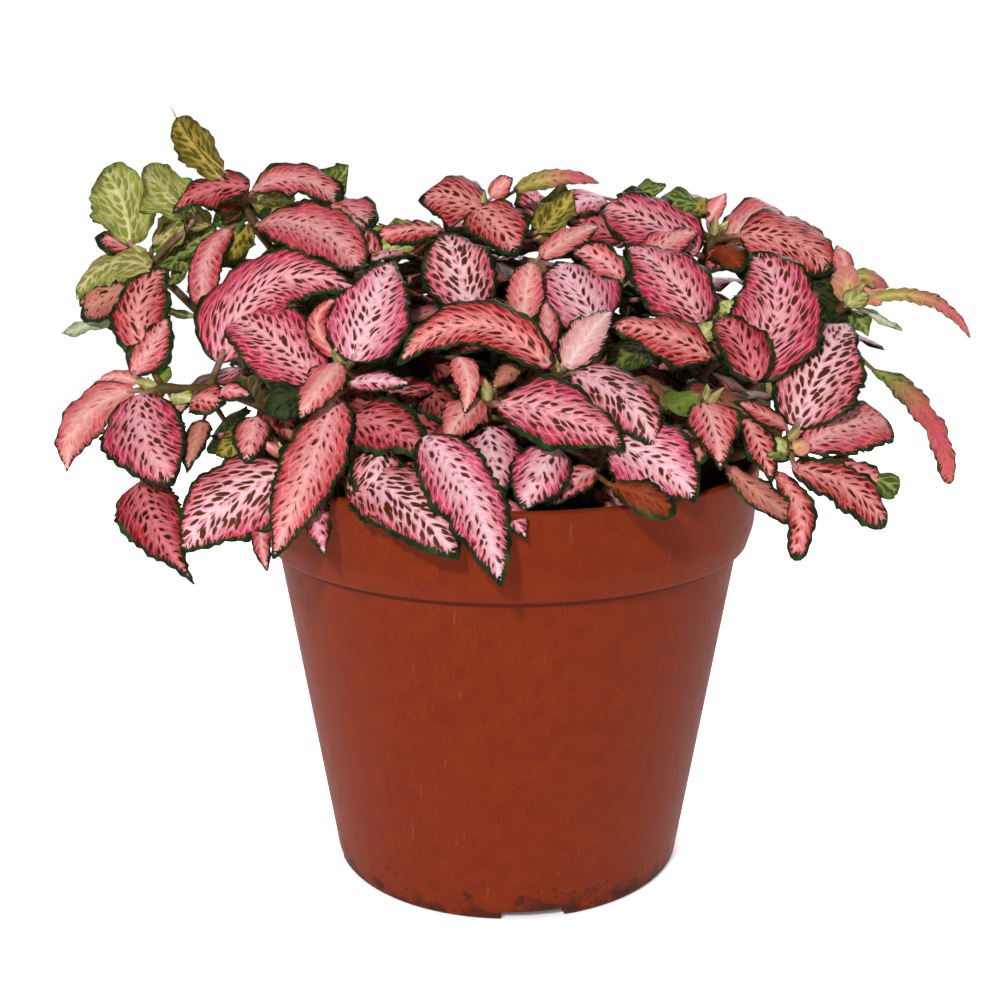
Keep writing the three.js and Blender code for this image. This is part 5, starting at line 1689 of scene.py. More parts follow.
    def stalk(self, root: np.ndarray, stem_way: np.ndarray) -> Shell:
        """Builds the stalk: a curve from the stem that runs into the midrib.

        The curve is the cubic with the root and the foot as its ends and the stem's way, bent
        to the foot, and the midrib's way as its slopes.

        Args:
            root: the point on the stem's middle line.
            stem_way: the stem's direction there.

        Returns:
            The shell, coloured from the stem's olive to the leaf's flesh.
        """
        form = self.form
        middle, _, _, tangent = self.midline(np.array([0.0, form.stalk_into]))
        end, way = middle[1], tangent[0]
        apart = float(np.linalg.norm(end - root))
        first = unit(unit(end - root) + form.stalk_along * stem_way) * apart
        s = np.linspace(0, 1, form.stalk_steps)[:, None]
        path = ((2 * s ** 3 - 3 * s ** 2 + 1) * root + (s ** 3 - 2 * s ** 2 + s) * first
                + (3 * s ** 2 - 2 * s ** 3) * end
                + (s ** 3 - s ** 2) * way * apart * form.stalk_pull)
        wide, taper = form.stalk_taper
        radius = (form.stalk_radius + form.stalk_growth * self.width) * (wide - taper * s[:, 0])
        shell = tube(path, radius, form.stalk_corners)
        share = np.concatenate([[0], np.repeat(s[:, 0], form.stalk_corners), [1]])[:, None]
        flesh = mixed(self.tones[0].heart, form.stalk_flesh, 0.5)
        return paint_stem(shell, np.array(linear(form.stalk_low)), flesh, share ** 2)


def mixed(first: str, second: str, share: float) -> np.ndarray:
    """Returns the linear colour between two sRGB colours, at a share of the second."""
    return np.array(linear(first)) * (1 - share) + np.array(linear(second)) * share


def paint_stem(shell: Shell, low: np.ndarray, high: np.ndarray, share: np.ndarray) -> Shell:
    """Colours a stem's or stalk's shell from one colour to another along it.

    Args:
        shell: the shell, whose finish becomes the stem's.
        low: the linear colour where the share is 0.
        high: the linear colour where the share is 1.
        share: how far along each point is, as a column.

    Returns:
        The same shell.
    """
    colour = low * (1 - share) + high * share
    brown = np.array(linear(STEM_BROWN)) * BROWN_SHARE + colour * (1 - BROWN_SHARE)
    brown[:, 3] = 1
    zeros = np.zeros((len(shell.points), 3))
    shell.traits = {"leaf_heart": colour, **dict.fromkeys(PLACE_TRAITS, zeros),
                    **dict.fromkeys(("leaf_blush", "leaf_mark", "leaf_margin"), brown)}
    shell.finish = 1
    return shell


# ---- Sub-assemblies ----

@dataclass
class LeafyStem:
    """A stem rooted in the peat, with its leaves, their stalks, its end bud and its hairs.

    Sizes are millimetres. bud_leaves are the sizes of the bud's leaves, and how far each leans
    from the stem's way to a side, the first pair across the second.
    """
    name: str
    line: SmoothLine
    leaves: list[Leaf]
    inner: list[Leaf] = field(default_factory=list)
    base_radius: float = 1.5
    top_radius: float = 0.95
    knot: float = 0.35
    knot_length: float = 1.3
    corners: int = 14
    steps: int = 64
    root_depth: float = 6
    root_tries: int = 240
    low_colour: str = "#341E10"
    top_colour: str = "#54421E"
    match_within: float = 0.05
    match_share: float = 0.3
    bend_kept: float = 0.35
    bud_leaves: tuple[Span, ...] = ((6, 0.55), (6, -0.55), (4, 0.3), (4, -0.3))
    bud_width: float = 0.42
    bud_from: float = 0.97
    bud_rise: float = 0.25
    bud_sink: float = 0.6
    bud_apart: float = 0.5
    bud_facing: float = 0.1
    hair_colour: str = "#C9BE9A"
    hair_length: Span = (0.5, 1.2)
    hair_radius: float = 0.045
    hair_share: float = 0.16
    most_hairs: int = 420

    def settle(self, axis: np.ndarray) -> int:
        """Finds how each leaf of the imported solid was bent, and leaves out those it hasn't.

        A leaf is tried at each bend, and the bend whose plain vertices lie in the node's own is
        the one that it has.

        Args:
            axis: where the pot's axis stands in the row frame, in millimetres.

        Returns:
            How many leaves were found.
        """
        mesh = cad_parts[self.name].data
        known = np.empty(len(mesh.vertices) * 3, np.float32)
        mesh.vertices.foreach_get("co", known)
        known = np.unique(known.reshape(-1, 3), axis=0).astype(float) / METRES_PER_MM - axis
        settled = []
        for leaf in self.leaves:
            tries = [leaf.bent(*bend) for bend in BENDS]
            hits = np.array([self.share_known(t.solid_points(), known) for t in tries])
            if hits.max() > self.match_share:
                at_foot, at_tip = BENDS[int(hits.argmax())]
                bent = leaf.bent(at_foot * self.bend_kept, at_tip * self.bend_kept)
                settled.append(bent.shown())
        self.leaves = settled
        return len(settled)

    def share_known(self, points: np.ndarray, known: np.ndarray) -> float:
        """Returns the share of the points that lie on one of the known points."""
        apart = np.linalg.norm(points[:, None] - known, axis=-1).min(axis=-1)
        return float((apart < self.match_within).mean())

    def root_of(self, leaf: Leaf) -> tuple[float, np.ndarray, np.ndarray]:
        """Finds where a leaf's stalk leaves the stem: the point of its line nearest the foot.

        Args:
            leaf: the leaf.

        Returns:
            The share of the stem's length, the point, and the stem's direction there.
        """
        shares = np.linspace(0.02, 0.98, self.root_tries)
        points = self.line.spaced(shares)
        best = int(np.linalg.norm(points - leaf.foot, axis=1).argmin())
        return shares[best], points[best], unit(np.gradient(points, axis=0))[best]

    def stem(self, knots: np.ndarray) -> Shell:
        """Builds the stem: it tapers evenly and swells in a short bell at each knot.

        Args:
            knots: the shares of its length where leaves leave it.

        Returns:
            The shell.
        """
        share = np.linspace(0, 1, self.steps)
        path = self.line.spaced(share)
        length = np.linalg.norm(np.diff(path, axis=0), axis=1).sum()
        radius = self.base_radius + (self.top_radius - self.base_radius) * share
        off_knot = (share[:, None] - knots) * length / self.knot_length
        radius = radius + self.knot * np.exp(-off_knot ** 2).max(axis=1, initial=0)
        path = np.concatenate([path[:1] - (0, 0, self.root_depth), path])
        radius = np.concatenate([radius[:1], radius])
        shell = tube(path, radius, self.corners)
        along = np.concatenate([[0], np.repeat(np.concatenate([[0], share]), self.corners), [1]])
        return paint_stem(shell, np.array(linear(self.low_colour)),
                          np.array(linear(self.top_colour)), along[:, None])

    def bud(self) -> list[Leaf]:
        """Sets the end bud: two pairs of unopened leaves round the stem's own direction.

        Returns:
            The bud's leaves.
        """
        way = unit(np.diff(self.line.spaced(np.array([self.bud_from, 1.0])), axis=0)[0])
        side = unit(np.cross(way, (0.3, 0.2, 1.0)))
        number = BUD_PLACES + len(self.name) + int(100 * draw(len(self.leaves), Chance.BUD))
        top = self.line.points[-1]
        found = []
        for i, (size, spread) in enumerate(self.bud_leaves):
            aside = side if i < 2 else np.cross(way, side)
            heading = unit(way + spread * aside + (0, 0, self.bud_rise))
            look = Look.LIME if i % 2 else Look.SALMON
            outward = aside * np.sign(spread)
            foot = top - way * self.bud_sink + outward * self.bud_apart
            found.append(Leaf(foot, foot + heading * size, way * self.bud_facing - outward,
                              size * self.bud_width, number + i, look, detail=Detail.BUD))
        return found

    def hairs(self, shells: Sequence[Shell]) -> Shell:
        """Sets fine hairs on the stem's and stalks' skins: each a slim three-sided spike.

        A hair stands on a point drawn from the skin, and leans out from it at random.

        Args:
            shells: the stem and its stalks.

        Returns:
            The shell.
        """
        chance = np.random.default_rng(sum(map(ord, self.name)))
        skin = np.concatenate([s.points[1:-1] for s in shells])
        count = min(int(len(skin) * self.hair_share), self.most_hairs)
        base = skin[chance.integers(0, len(skin), count)]
        lean = unit(chance.normal(size=(count, 3)))
        length = chance.uniform(*self.hair_length, count)[:, None]
        aside = unit(np.cross(lean, (0.31, 0.52, 0.8)))
        other = np.cross(lean, aside)
        corners = [self.hair_radius * (math.cos(a) * aside + math.sin(a) * other)
                   for a in (0, 2 * math.pi / 3, 4 * math.pi / 3)]
        points = np.stack([base + c for c in corners] + [base + lean * length], axis=1)
        sides = np.array([[0, 2, 1], [0, 1, 3], [1, 2, 3], [2, 0, 3]])
        faces = (4 * np.arange(count)[:, None, None] + sides).reshape(-1, 3)
        shell = Shell(points.reshape(-1, 3), [faces])
        pale = np.array(linear(self.hair_colour))
        return paint_stem(shell, pale, pale, np.zeros((4 * count, 1)))

    def build(self, axis: np.ndarray, finishes: Sequence[bpy.types.Material]) -> bpy.types.Object:
        """Builds the piece that stands for the stem's node.

        Args:
            axis: where the pot's axis stands in the row frame, in millimetres.
            finishes: the leaf flesh and the stem skin.

        Returns:
            The piece, riding on the plant's body.
        """
        wanted = len(self.leaves)
        found = self.settle(axis)
        borne = [*self.leaves, *self.inner]
        roots = [self.root_of(leaf) for leaf in borne]
        stem = self.stem(np.array([share for share, _, _ in roots]))
        stalks = [leaf.stalk(root, way) for leaf, (_, root, way) in zip(borne, roots)]
        blades = [leaf.blade() for leaf in [*borne, *self.bud()]]
        shells = [merge(blades), stem, *stalks, self.hairs([stem, *stalks])]
        piece = place_mesh(self.name + "_foliage", shells, finishes, axis)
        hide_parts(self.name)
        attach(piece, "root")
        faces = sum(len(f) * (f.shape[1] - 2) for s in shells for f in s.faces)
        LOG.info("%s: %d of %d leaves, %d triangles", piece.name, found, wanted, faces)
        return piece


@dataclass
class Plant:
    """All the leafy stems, laid out from the reference view and by rule on the far side.

    Sizes are millimetres and turns are degrees. A pair in a field is what a leaf has at least,
    and what chance adds. A slant is the most that depth changes for each millimetre across the
    view, and foot_under and way_under are how many layers a leaf's foot and a stem's way lie
    under their plans. face_out and face_up turn faces out of the mound and up from the eye.
    inner_ fields set out the small shaded leaves, and the last ones say where they have room.
    """
    view: ReferenceView = ReferenceView()
    mound: Mound = Mound()
    soil_top: float = SOIL_TOP
    neck_height: float = 9
    neck_lean: float = 0.08
    stalk_slant: float = 0.7
    blade_slant: float = 0.8
    foot_under: float = 0.4
    way_under: float = 0.8
    face_out: float = 0.35
    face_up: float = 0.75
    widest_turn: float = 0.72
    scatter: float = 30
    stalk_length: float = 3
    pair_size: Span = (0.85, 0.3)
    lower_pair_step: int = 3
    facing_lean: float = 0.3
    pair_turn: float = 90
    first_turn: float = 45
    inner_knots: tuple[float, ...] = (0.35, 0.5, 0.62, 0.74, 0.86)
    inner_rounds: int = 6
    inner_throw: float = 34
    inner_lean: float = 1.1
    inner_rise: float = 0.15
    inner_stray: float = 2.4
    inner_length: Span = (15, 10)
    inner_width: Span = (0.5, 0.12)
    inner_limit: float = 0.95
    inner_span: float = 68
    inner_over_rim: float = 14
    inner_in_rim: float = 50
    inner_over_soil: float = 2
    inner_behind: float = 10

    def nudge(self, middle: np.ndarray, moved: Point, nearer: float) -> np.ndarray:
        """Works out the shift in space that shows as a shift in the view.

        Args:
            middle: the leaf's middle.
            moved: the columns and rows that it moves by.
            nearer: how far it comes towards the eye.

        Returns:
            The shift.
        """
        sight = self.view.eye - middle
        scale = float(np.linalg.norm(sight)) / self.view.focal
        up = np.array((0.0, math.sin(self.view.pitch), math.cos(self.view.pitch)))
        return scale * (moved[0] * np.array((1.0, 0.0, 0.0)) - moved[1] * up) + nearer * unit(sight)

    def stem_line(self, hole: Point, by: Sequence[np.ndarray], top: np.ndarray) -> SmoothLine:
        """Lays a stem's line, upright where it leaves the peat.

        Args:
            hole: where it leaves the peat.
            by: the points that it passes, if any.
            top: its top.

        Returns:
            The line.
        """
        foot = np.array((*hole, self.soil_top - 1.0))
        neck = np.array((*hole, self.soil_top + self.neck_height))
        return SmoothLine(np.stack([foot, neck + self.neck_lean * (top - neck), *by, top]))

    def seen_leaf(self, stem: StemPlan, plan: LeafPlan, place: int) -> Leaf:
        """Stands one leaf of the reference view in space.

        Args:
            stem: the stem that it grows on.
            plan: the leaf in the view.
            place: its number in the plant.

        Returns:
            The leaf, wider than it shows where it is turned away from the eye.
        """
        top_depth = self.mound.depth(stem.top)
        depth, foot = self.mound.near(self.view, plan.start, plan.layer + self.foot_under, stem.top,
                                      top_depth, self.stalk_slant)
        _, tip = self.mound.near(self.view, plan.end, plan.layer, plan.start, depth,
                                 self.blade_slant)
        middle = (foot + tip) / 2
        sight = unit(self.view.eye - middle)
        facing = sight + self.face_out * self.mound.outward(middle) + (0, 0, self.face_up)
        leaf = Leaf(foot, tip, -facing if plan.under else facing, plan.width, place, plan.look,
                    plan.under, plan.bow, plan.turn, broad=plan.broad, blunt=plan.blunt,
                    swing=plan.swing, nudge=self.nudge(middle, plan.moved, plan.nearer),
                    tuck=-plan.tucked * unit(self.view.eye - tip))
        side = leaf.axes()[1]
        shown = math.sqrt(1 - float(side @ sight) ** 2)
        leaf.width = plan.width / max(shown, self.widest_turn)
        return leaf

    def pair(self, line: SmoothLine, plan: PairPlan, turn: float, place: int) -> list[Leaf]:
        """Sets a pair of opposite leaves on a stem by rule.

        Args:
            line: the stem's line.
            plan: the pair.
            turn: its turn round the pot's axis, in degrees.
            place: the first leaf's number in the plant.

        Returns:
            The two leaves.
        """
        knot = line.spaced(np.array([min(plan.at, 1.0)]))[0]
        found = []
        for here, half in ((place, 0), (place + 1, 180)):
            yaw = math.radians(turn + half + self.scatter * (draw(here, Chance.YAW) - 0.5))
            droop = math.radians(plan.droop + self.scatter * (draw(here, Chance.DROOP) - 0.5))
            level = np.array((math.cos(yaw), math.sin(yaw), 0.0))
            heading = level * math.cos(droop) - (0, 0, math.sin(droop))
            size = drawn(here, Chance.SIZE, *self.pair_size)
            foot = knot + heading * self.stalk_length
            look = GROWN_BY_RULE[int(draw(here, Chance.LOOK) * len(GROWN_BY_RULE))]
            found.append(Leaf(foot, foot + heading * plan.length * size,
                              self.facing_lean * level + (0, 0, 1), plan.width * size, here, look,
                              nudge=self.nudge(foot, SHIFTS.get(here, (0, 0)), 0)))
        return found

    def inner_leaves(self, line: SmoothLine, number: int) -> list[Leaf]:
        """Sets small shaded leaves round a stem, lying under the mound's surface like shingles.

        A leaf's middle stands at random beside one of the stem's knots, its face turns out of
        the mound with some scatter, and it points down the mound's slope or to a side of it.

        Args:
            line: the stem's line.
            number: the stem's number in the plant.

        Returns:
            The leaves that stay inside the mound and over the pot.
        """
        found = []
        for i, share in enumerate(self.inner_knots * self.inner_rounds):
            place = INNER_PLACES + len(self.inner_knots) * self.inner_rounds * number + i
            knot = line.spaced(np.array([share]))[0]
            middle = knot + draw_way(place, Chance.THROW) * self.inner_throw
            facing = unit(self.mound.outward(middle) + draw_way(place, Chance.LEAN)
                          * self.inner_lean + (0, 0, self.inner_rise))
            way = (0, 0, -1) + self.inner_stray * draw_way(place, Chance.WAY)
            way = unit(way - dot(way, facing) * facing)
            length = drawn(place, Chance.INNER_LENGTH, *self.inner_length)
            ends = middle + way * length * np.array([[-0.5], [0.5]])
            if self.has_room(ends):
                look = INNER_BY_RULE[int(draw(place, Chance.LOOK) * len(INNER_BY_RULE))]
                width = length * drawn(place, Chance.INNER_WIDTH, *self.inner_width)
                found.append(Leaf(*ends, facing, width, place, look, detail=Detail.INNER))
        return found

    def has_room(self, ends: np.ndarray) -> bool:
        """Tells whether a leaf between two ends stays hidden in the mound and clear of the pot.

        Args:
            ends: its foot and tip.

        Returns:
            Whether it lies behind the foremost leaves, inside the mound, over the peat, within
            the mound's middle part, and over the rim or inside it.
        """
        behind = min(end[1] - self.mound.depth(self.view.place_of(end)) for end in ends)
        reach = np.linalg.norm((ends - self.mound.centre) / self.mound.radii, axis=1).max()
        over_soil = ends[:, 2].min() - self.soil_top
        in_rim = np.linalg.norm(ends[:, :2], axis=1).max() < self.inner_in_rim
        return bool(behind > self.inner_behind and reach < self.inner_limit
                    and over_soil > self.inner_over_soil
                    and np.abs(ends[:, 0]).max() < self.inner_span
                    and (over_soil > self.inner_over_rim or in_rim))

    def stems(self) -> list[LeafyStem]:
        """Lays out every stem, those of the reference view first.

        Returns:
            The stems with their leaves.
        """
        found = []
        for number, plan in enumerate(SEEN_STEMS):
            depth = self.mound.depth(plan.top)
            top = self.view.point(plan.top, depth + plan.layer * self.mound.layer_depth)
            by = [self.mound.near(self.view, place, plan.layer + self.way_under, plan.top, depth,
                                  self.stalk_slant)[1] for place in plan.by]
            line = self.stem_line(plan.hole, by, top)
            leaves = [self.seen_leaf(plan, leaf, STEM_PLACES * number + i)
                      for i, leaf in enumerate(plan.leaves)]
            if number % self.lower_pair_step == 1:
                leaves += self.pair(line, LOWER_PAIR, 360 * draw(number, Chance.FIRST_TURN),
                                    LOWER_PLACES + 2 * number)
            more = [self.seen_leaf(plan, leaf, MORE_PLACES + STEM_PLACES * number + i).shown()
                    for i, leaf in enumerate(plan.more)]
            found.append(LeafyStem(plan.name, line, leaves,
                                   [*self.inner_leaves(line, number), *more]))
        for number, far in enumerate(FAR_STEMS):
            turn = math.radians(far.turn)
            outward = np.array((math.cos(turn), math.sin(turn)))
            top = np.array((*(outward * far.reach), far.height))
            line = self.stem_line(outward * far.hole, [], top)
            leaves = [leaf for i, pair in enumerate(FAR_PAIRS) for leaf in self.pair(
                line, pair, far.turn + self.first_turn + self.pair_turn * i,
                FAR_PLACES + STEM_PLACES * number + 2 * i)]
            inner = self.inner_leaves(line, FAR_NUMBER + number)
            found.append(LeafyStem(far.name, line, leaves, inner))
        return found


@dataclass
class NurseryPot:
    """The tapered pot: wall, stepped rim band, notched foot ring, and floor with drain holes.

    Sizes are millimetres and turns are radians.
    """
    height: float = 101.6
    rim_radius: float = 60
    band_height: float = 20.7
    body_top_radius: float = 55.5
    base_radius: float = 42.8
    wall: float = 1.3
    foot_height: float = 2.2
    foot_width: float = 3.4
    floor: float = 1.5
    notch_width: float = 15
    notch_turn: float = math.radians(-82)
    notch_count: int = 4
    notch_roof: float = 2.1
    drain_radius: float = 4.5
    drain_circle: float = 30
    drain_sides: int = 48
    sides: int = 224
    arc_points: int = 5
    arc_room: float = 0.42
    hold: float = 0.25
    notch_ease: float = 0.008
    notch_turns: tuple[float, ...] = (-0.012, -0.004, 0.004, 0.012)
    least_turn: float = 0.006

    def corners(self) -> list[tuple[float, float, float]]:
        """Sets out the outline from the floor's underside round the wall to its upper side.

        Returns:
            The corners, each as its radius, height and rounding.
        """
        step = self.height - self.band_height
        floor = self.foot_height + self.floor
        return [
            (self.base_radius - self.foot_width, self.foot_height, 0.3),
            (self.base_radius - self.foot_width + 0.6, 0, 0.3),
            (self.base_radius - 0.6, 0, 0.3),
            (self.base_radius, 0.8, 0.3),
            (self.base_radius + 0.35, 3.0, 0.2),
            (self.body_top_radius, step, 0.35),
            (self.body_top_radius + 2.1, step + 0.6, 0.6),
            (self.rim_radius - 0.9, step + 5.5, 1.5),
            (self.rim_radius, self.height - 2.2, 0.7),
            (self.rim_radius, self.height - 0.5, 0.3),
            (self.rim_radius - 0.5, self.height, 0.3),
            (self.rim_radius - 1.6, self.height, 0.3),
            (self.rim_radius - self.wall - 0.7, self.height - 1.2, 0.4),
            (self.body_top_radius + 1.2, step + 4, 0.8),
            (self.body_top_radius - self.wall, step - 0.5, 0.8),
            (self.base_radius - self.wall, floor + 1.2, 0.5),
            (self.base_radius - self.wall - 1.2, floor, 0.5),
        ]

    def profile(self) -> np.ndarray:
        """Rounds each corner with a curve (1-s)^2 a + 2s(1-s) corner + s^2 b between its sides.

        a and b lie the rounding's size away from the corner along its two sides, and one more
        point beyond each holds the shading of the straight flat there.

        Returns:
            The outline as radius and height, from the underside's middle to the floor's.
        """
        corners = self.corners()
        ends = [(0.0, self.foot_height, 0.0), *corners, (0.0, self.foot_height + self.floor, 0.0)]
        places = np.array([c[:2] for c in ends], float)
        rounding = np.array([c[2] for c in corners])[:, None]
        here, before, after = places[1:-1], places[:-2], places[2:]
        back, on = unit(before - here), unit(after - here)
        room = self.arc_room * np.minimum(np.linalg.norm(before - here, axis=1),
                                          np.linalg.norm(after - here, axis=1))[:, None]
        size = np.minimum(rounding, room)
        s = np.linspace(0, 1, self.arc_points)[None, :, None]
        a, b = (here + back * size)[:, None], (here + on * size)[:, None]
        arc = (1 - s) ** 2 * a + 2 * s * (1 - s) * here[:, None] + s ** 2 * b
        hold = np.minimum(self.hold, room - size * 0.99)
        held = np.concatenate([(a + back[:, None] * hold[:, None]), arc,
                               (b + on[:, None] * hold[:, None])], axis=1)
        return held.reshape(-1, 2)

    def turns(self) -> np.ndarray:
        """Sets the steps of the lathe: even ones, and close ones at the notches' sides.

        Returns:
            The angles, in order.
        """
        even = np.linspace(0, 2 * math.pi, self.sides, endpoint=False)
        sides = [self.notch_turn + 2 * math.pi * i / self.notch_count + side * self.notch_width / 2
                 / self.base_radius + shift for i in range(self.notch_count) for side in (-1, 1)
                 for shift in self.notch_turns]
        close = np.mod(np.array(sides), 2 * math.pi)
        clear = np.abs(even[:, None] - close).min(axis=1) > self.least_turn
        return np.sort(np.concatenate([even[clear], close]))

    def notch_share(self, turn: np.ndarray) -> np.ndarray:
        """Tells what lies in a notch, easing over about a third of a millimetre at its sides.

        Args:
            turn: angles round the pot.

        Returns:
            1 inside a notch and 0 outside.
        """
        between = 2 * math.pi / self.notch_count
        off = np.abs(np.mod(turn - self.notch_turn + between / 2, between) - between / 2)
        past = (self.notch_width / 2 / self.base_radius - off) / self.notch_ease + 0.5
        return np.clip(past, 0, 1)

    def skin(self) -> Shell:
        """Turns the outline round the axis, its foot lifted to the notches' roof inside them.

        Returns:
            The closed shell.
        """
        outline = self.profile()
        turn = self.turns()[::-1]
        radius, height = outline[:, :1], outline[:, 1:]
        share = self.notch_share(turn)[None]
        low = (height < self.notch_roof) & (radius > self.drain_circle)
        lifted = np.where(low, height + share * (self.notch_roof - height), height)
        rings = np.stack([radius * np.cos(turn), radius * np.sin(turn), lifted], axis=-1)
        return closed_skin(rings, np.array((0, 0, self.foot_height)),
                           np.array((0, 0, self.foot_height + self.floor)))

    def drains(self) -> Shell:
        """Sets the plugs that cut the drain holes out of the floor: short upright tubes.

        Returns:
            The shell of all plugs.
        """
        plugs = []
        for i in range(self.notch_count):
            turn = self.notch_turn + 2 * math.pi * i / self.notch_count
            x, y = self.drain_circle * math.cos(turn), self.drain_circle * math.sin(turn)
            path = np.array([(x, y, z) for z in (0.5, 3.0, 6.0)])
            plugs.append(tube(path, np.full(3, self.drain_radius), self.drain_sides))
        return merge(plugs)

    def build(self, axis: np.ndarray, finish: bpy.types.Material) -> bpy.types.Object:
        """Builds the pot that stands for its node.

        Args:
            axis: where the pot's axis stands in the row frame, in millimetres.
            finish: the plastic.

        Returns:
            The piece.
        """
        piece = place_mesh("nursery_pot", [self.skin()], [finish], axis)
        cutter = place_mesh("drain_plugs", [self.drains()], [finish], axis)
        cut = piece.modifiers.new("drain_holes", "BOOLEAN")
        cut.operation, cut.solver, cut.object = "DIFFERENCE", "EXACT", cutter
        graph = bpy.context.evaluated_depsgraph_get()
        whole = bpy.data.meshes.new_from_object(piece.evaluated_get(graph))
        piece.modifiers.clear()
        piece.data = whole
        bpy.data.objects.remove(cutter)
        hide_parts("pot")
        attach(piece, "root")
        LOG.info("%s: %d faces", piece.name, len(whole.polygons))
        return piece


@dataclass
class PeatFill:
    """The peat in the pot: a low dome of crumbs and fibres over a plain plug.

    relief holds the size of each of the lumps laid over each other, and the rest are millimetres
    and counts, or what chance draws from.
    """
    top: float = SOIL_TOP
    dome: float = 4
    edge: float = 53.8
    rim: float = 55.3
    shoulder_height: float = 79.9
    low_radius: float = 41.2
    low: float = 4.0
    bevel: float = 1.4
    rings: int = 56
    sides: int = 220
    relief: tuple[float, ...] = (9.0, 4.1, 1.9, 0.9)
    relief_height: float = 0.42
    relief_level: float = 0.62
    crumbs: int = 620
    crumb_seed: int = 11
    crumb_gamma: Span = (3.0, 0.28)
    least_crumb: float = 0.25
    crumb_roughness: Span = (0.7, 1.25)
    crumb_squeeze: Span = (0.55, 1.2)
    crumb_ring: int = 6
    fibres: int = 90
    fibre_seed: int = 12
    fibre_half: Span = (1.5, 4.5)
    fibre_bend: float = 0.06
    fibre_radius: Span = (0.12, 0.28)
    fibre_height: float = 0.35

    def surface(self, x: np.ndarray, y: np.ndarray) -> np.ndarray:
        """Works out the peat's height: a dome that falls with the radius squared, plus lumps.

        Args:
            x: places across.
            y: places along.

        Returns:
            The heights.
        """
        radius = np.hypot(x, y)
        lump = sum(size * (lumps(x, y, size, kind) - self.relief_level)
                   for kind, size in enumerate(self.relief, 1))
        settled = np.clip((self.rim - radius) / 4, 0, 1)
        dome = self.top - self.dome * (radius / self.edge) ** 2
        return dome + self.relief_height * lump * settled

    def plug(self) -> Shell:
        """Builds the whole fill as one closed skin, from its bottom round its side to the top.

        Returns:
            The shell.
        """
        side = [(self.low_radius - self.bevel, self.low), (self.low_radius, self.low + self.bevel),
                (self.edge, self.shoulder_height), (self.rim, self.top - self.dome - 0.6)]
        across = np.linspace(1, 0, self.rings, endpoint=False) * (self.rim - 0.3)
        turn = np.linspace(0, 2 * math.pi, self.sides, endpoint=False)[::-1]
        radius = np.concatenate([[r for r, _ in side], across])[:, None]
        x, y = radius * np.cos(turn), radius * np.sin(turn)
        height = self.surface(x, y)
        height[:len(side)] = np.array([h for _, h in side])[:, None]
        return closed_skin(np.stack([x, y, height], axis=-1), np.array((0, 0, self.low)),
                           np.array((0.0, 0.0, float(self.surface(np.zeros(1), np.zeros(1))[0]))))

    def loose_crumbs(self) -> Shell:
        """Scatters crumbs: balls of four rings, each roughened and squeezed at random.

        Returns:
            The shell of all crumbs.
        """
        chance = np.random.default_rng(self.crumb_seed)
        count = self.crumbs
        radius = (self.edge - 1) * np.sqrt(chance.uniform(0, 1, count))
        turn = chance.uniform(0, 2 * math.pi, count)
        x, y = radius * np.cos(turn), radius * np.sin(turn)
        size = chance.gamma(*self.crumb_gamma, count)[:, None, None] + self.least_crumb
        middle = np.stack([x, y, self.surface(x, y) + 0.1], axis=-1)
        corners = self.crumb_ring
        polar, around = np.meshgrid(
            np.linspace(0, math.pi, corners)[1:-1],
            np.linspace(0, 2 * math.pi, corners, endpoint=False), indexing="ij")
        ball = np.stack([np.sin(polar) * np.cos(around), np.sin(polar) * np.sin(around),
                         -np.cos(polar)], axis=-1).reshape(1, -1, 3)
        poles = np.array([[[0.0, 0.0, -1.0], [0.0, 0.0, 1.0]]])
        shape = np.concatenate([poles[:, :1], ball, poles[:, 1:]], axis=1)
        rough = shape * chance.uniform(*self.crumb_roughness, (count, shape.shape[1], 1))
        squeezed = rough * chance.uniform(*self.crumb_squeeze, (count, 1, 3)) * size
        base = closed_skin(np.zeros((corners - 2, corners, 3)), np.zeros(3), np.zeros(3))
        starts = shape.shape[1] * np.arange(count)[:, None, None]
        faces = [(f + starts).reshape(-1, f.shape[1]) for f in base.faces]
        return Shell((middle[:, None] + squeezed).reshape(-1, 3), faces)

    def loose_fibres(self) -> list[Shell]:
        """Lays short curved fibres on the peat, each a slim tube.

        Returns:
            The fibres' shells.
        """
        chance = np.random.default_rng(self.fibre_seed)
        found = []
        for _ in range(self.fibres):
            radius, turn, way = chance.uniform((0, 0, 0), (self.edge - 8, 6.28, 6.28))
            s = np.linspace(-1, 1, 9) * chance.uniform(*self.fibre_half)
            bend = chance.uniform(-self.fibre_bend, self.fibre_bend) * s ** 2
            x = radius * math.cos(turn) + s * math.cos(way) - bend * math.sin(way)
            y = radius * math.sin(turn) + s * math.sin(way) + bend * math.cos(way)
            path = np.stack([x, y, self.surface(x, y) + self.fibre_height], axis=-1)
            found.append(tube(path, np.full(len(s), chance.uniform(*self.fibre_radius)), 5))
        return found

    def build(self, axis: np.ndarray, finish: bpy.types.Material) -> bpy.types.Object:
        """Builds the peat that stands for its node.

        Args:
            axis: where the pot's axis stands in the row frame, in millimetres.
            finish: the peat.

        Returns:
            The piece.
        """
        shells = [self.plug(), self.loose_crumbs(), *self.loose_fibres()]
        piece = place_mesh("peat", shells, [finish], axis)
        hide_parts("soil")
        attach(piece, "root")
        LOG.info("%s: %d faces", piece.name, len(piece.data.polygons))
        return piece


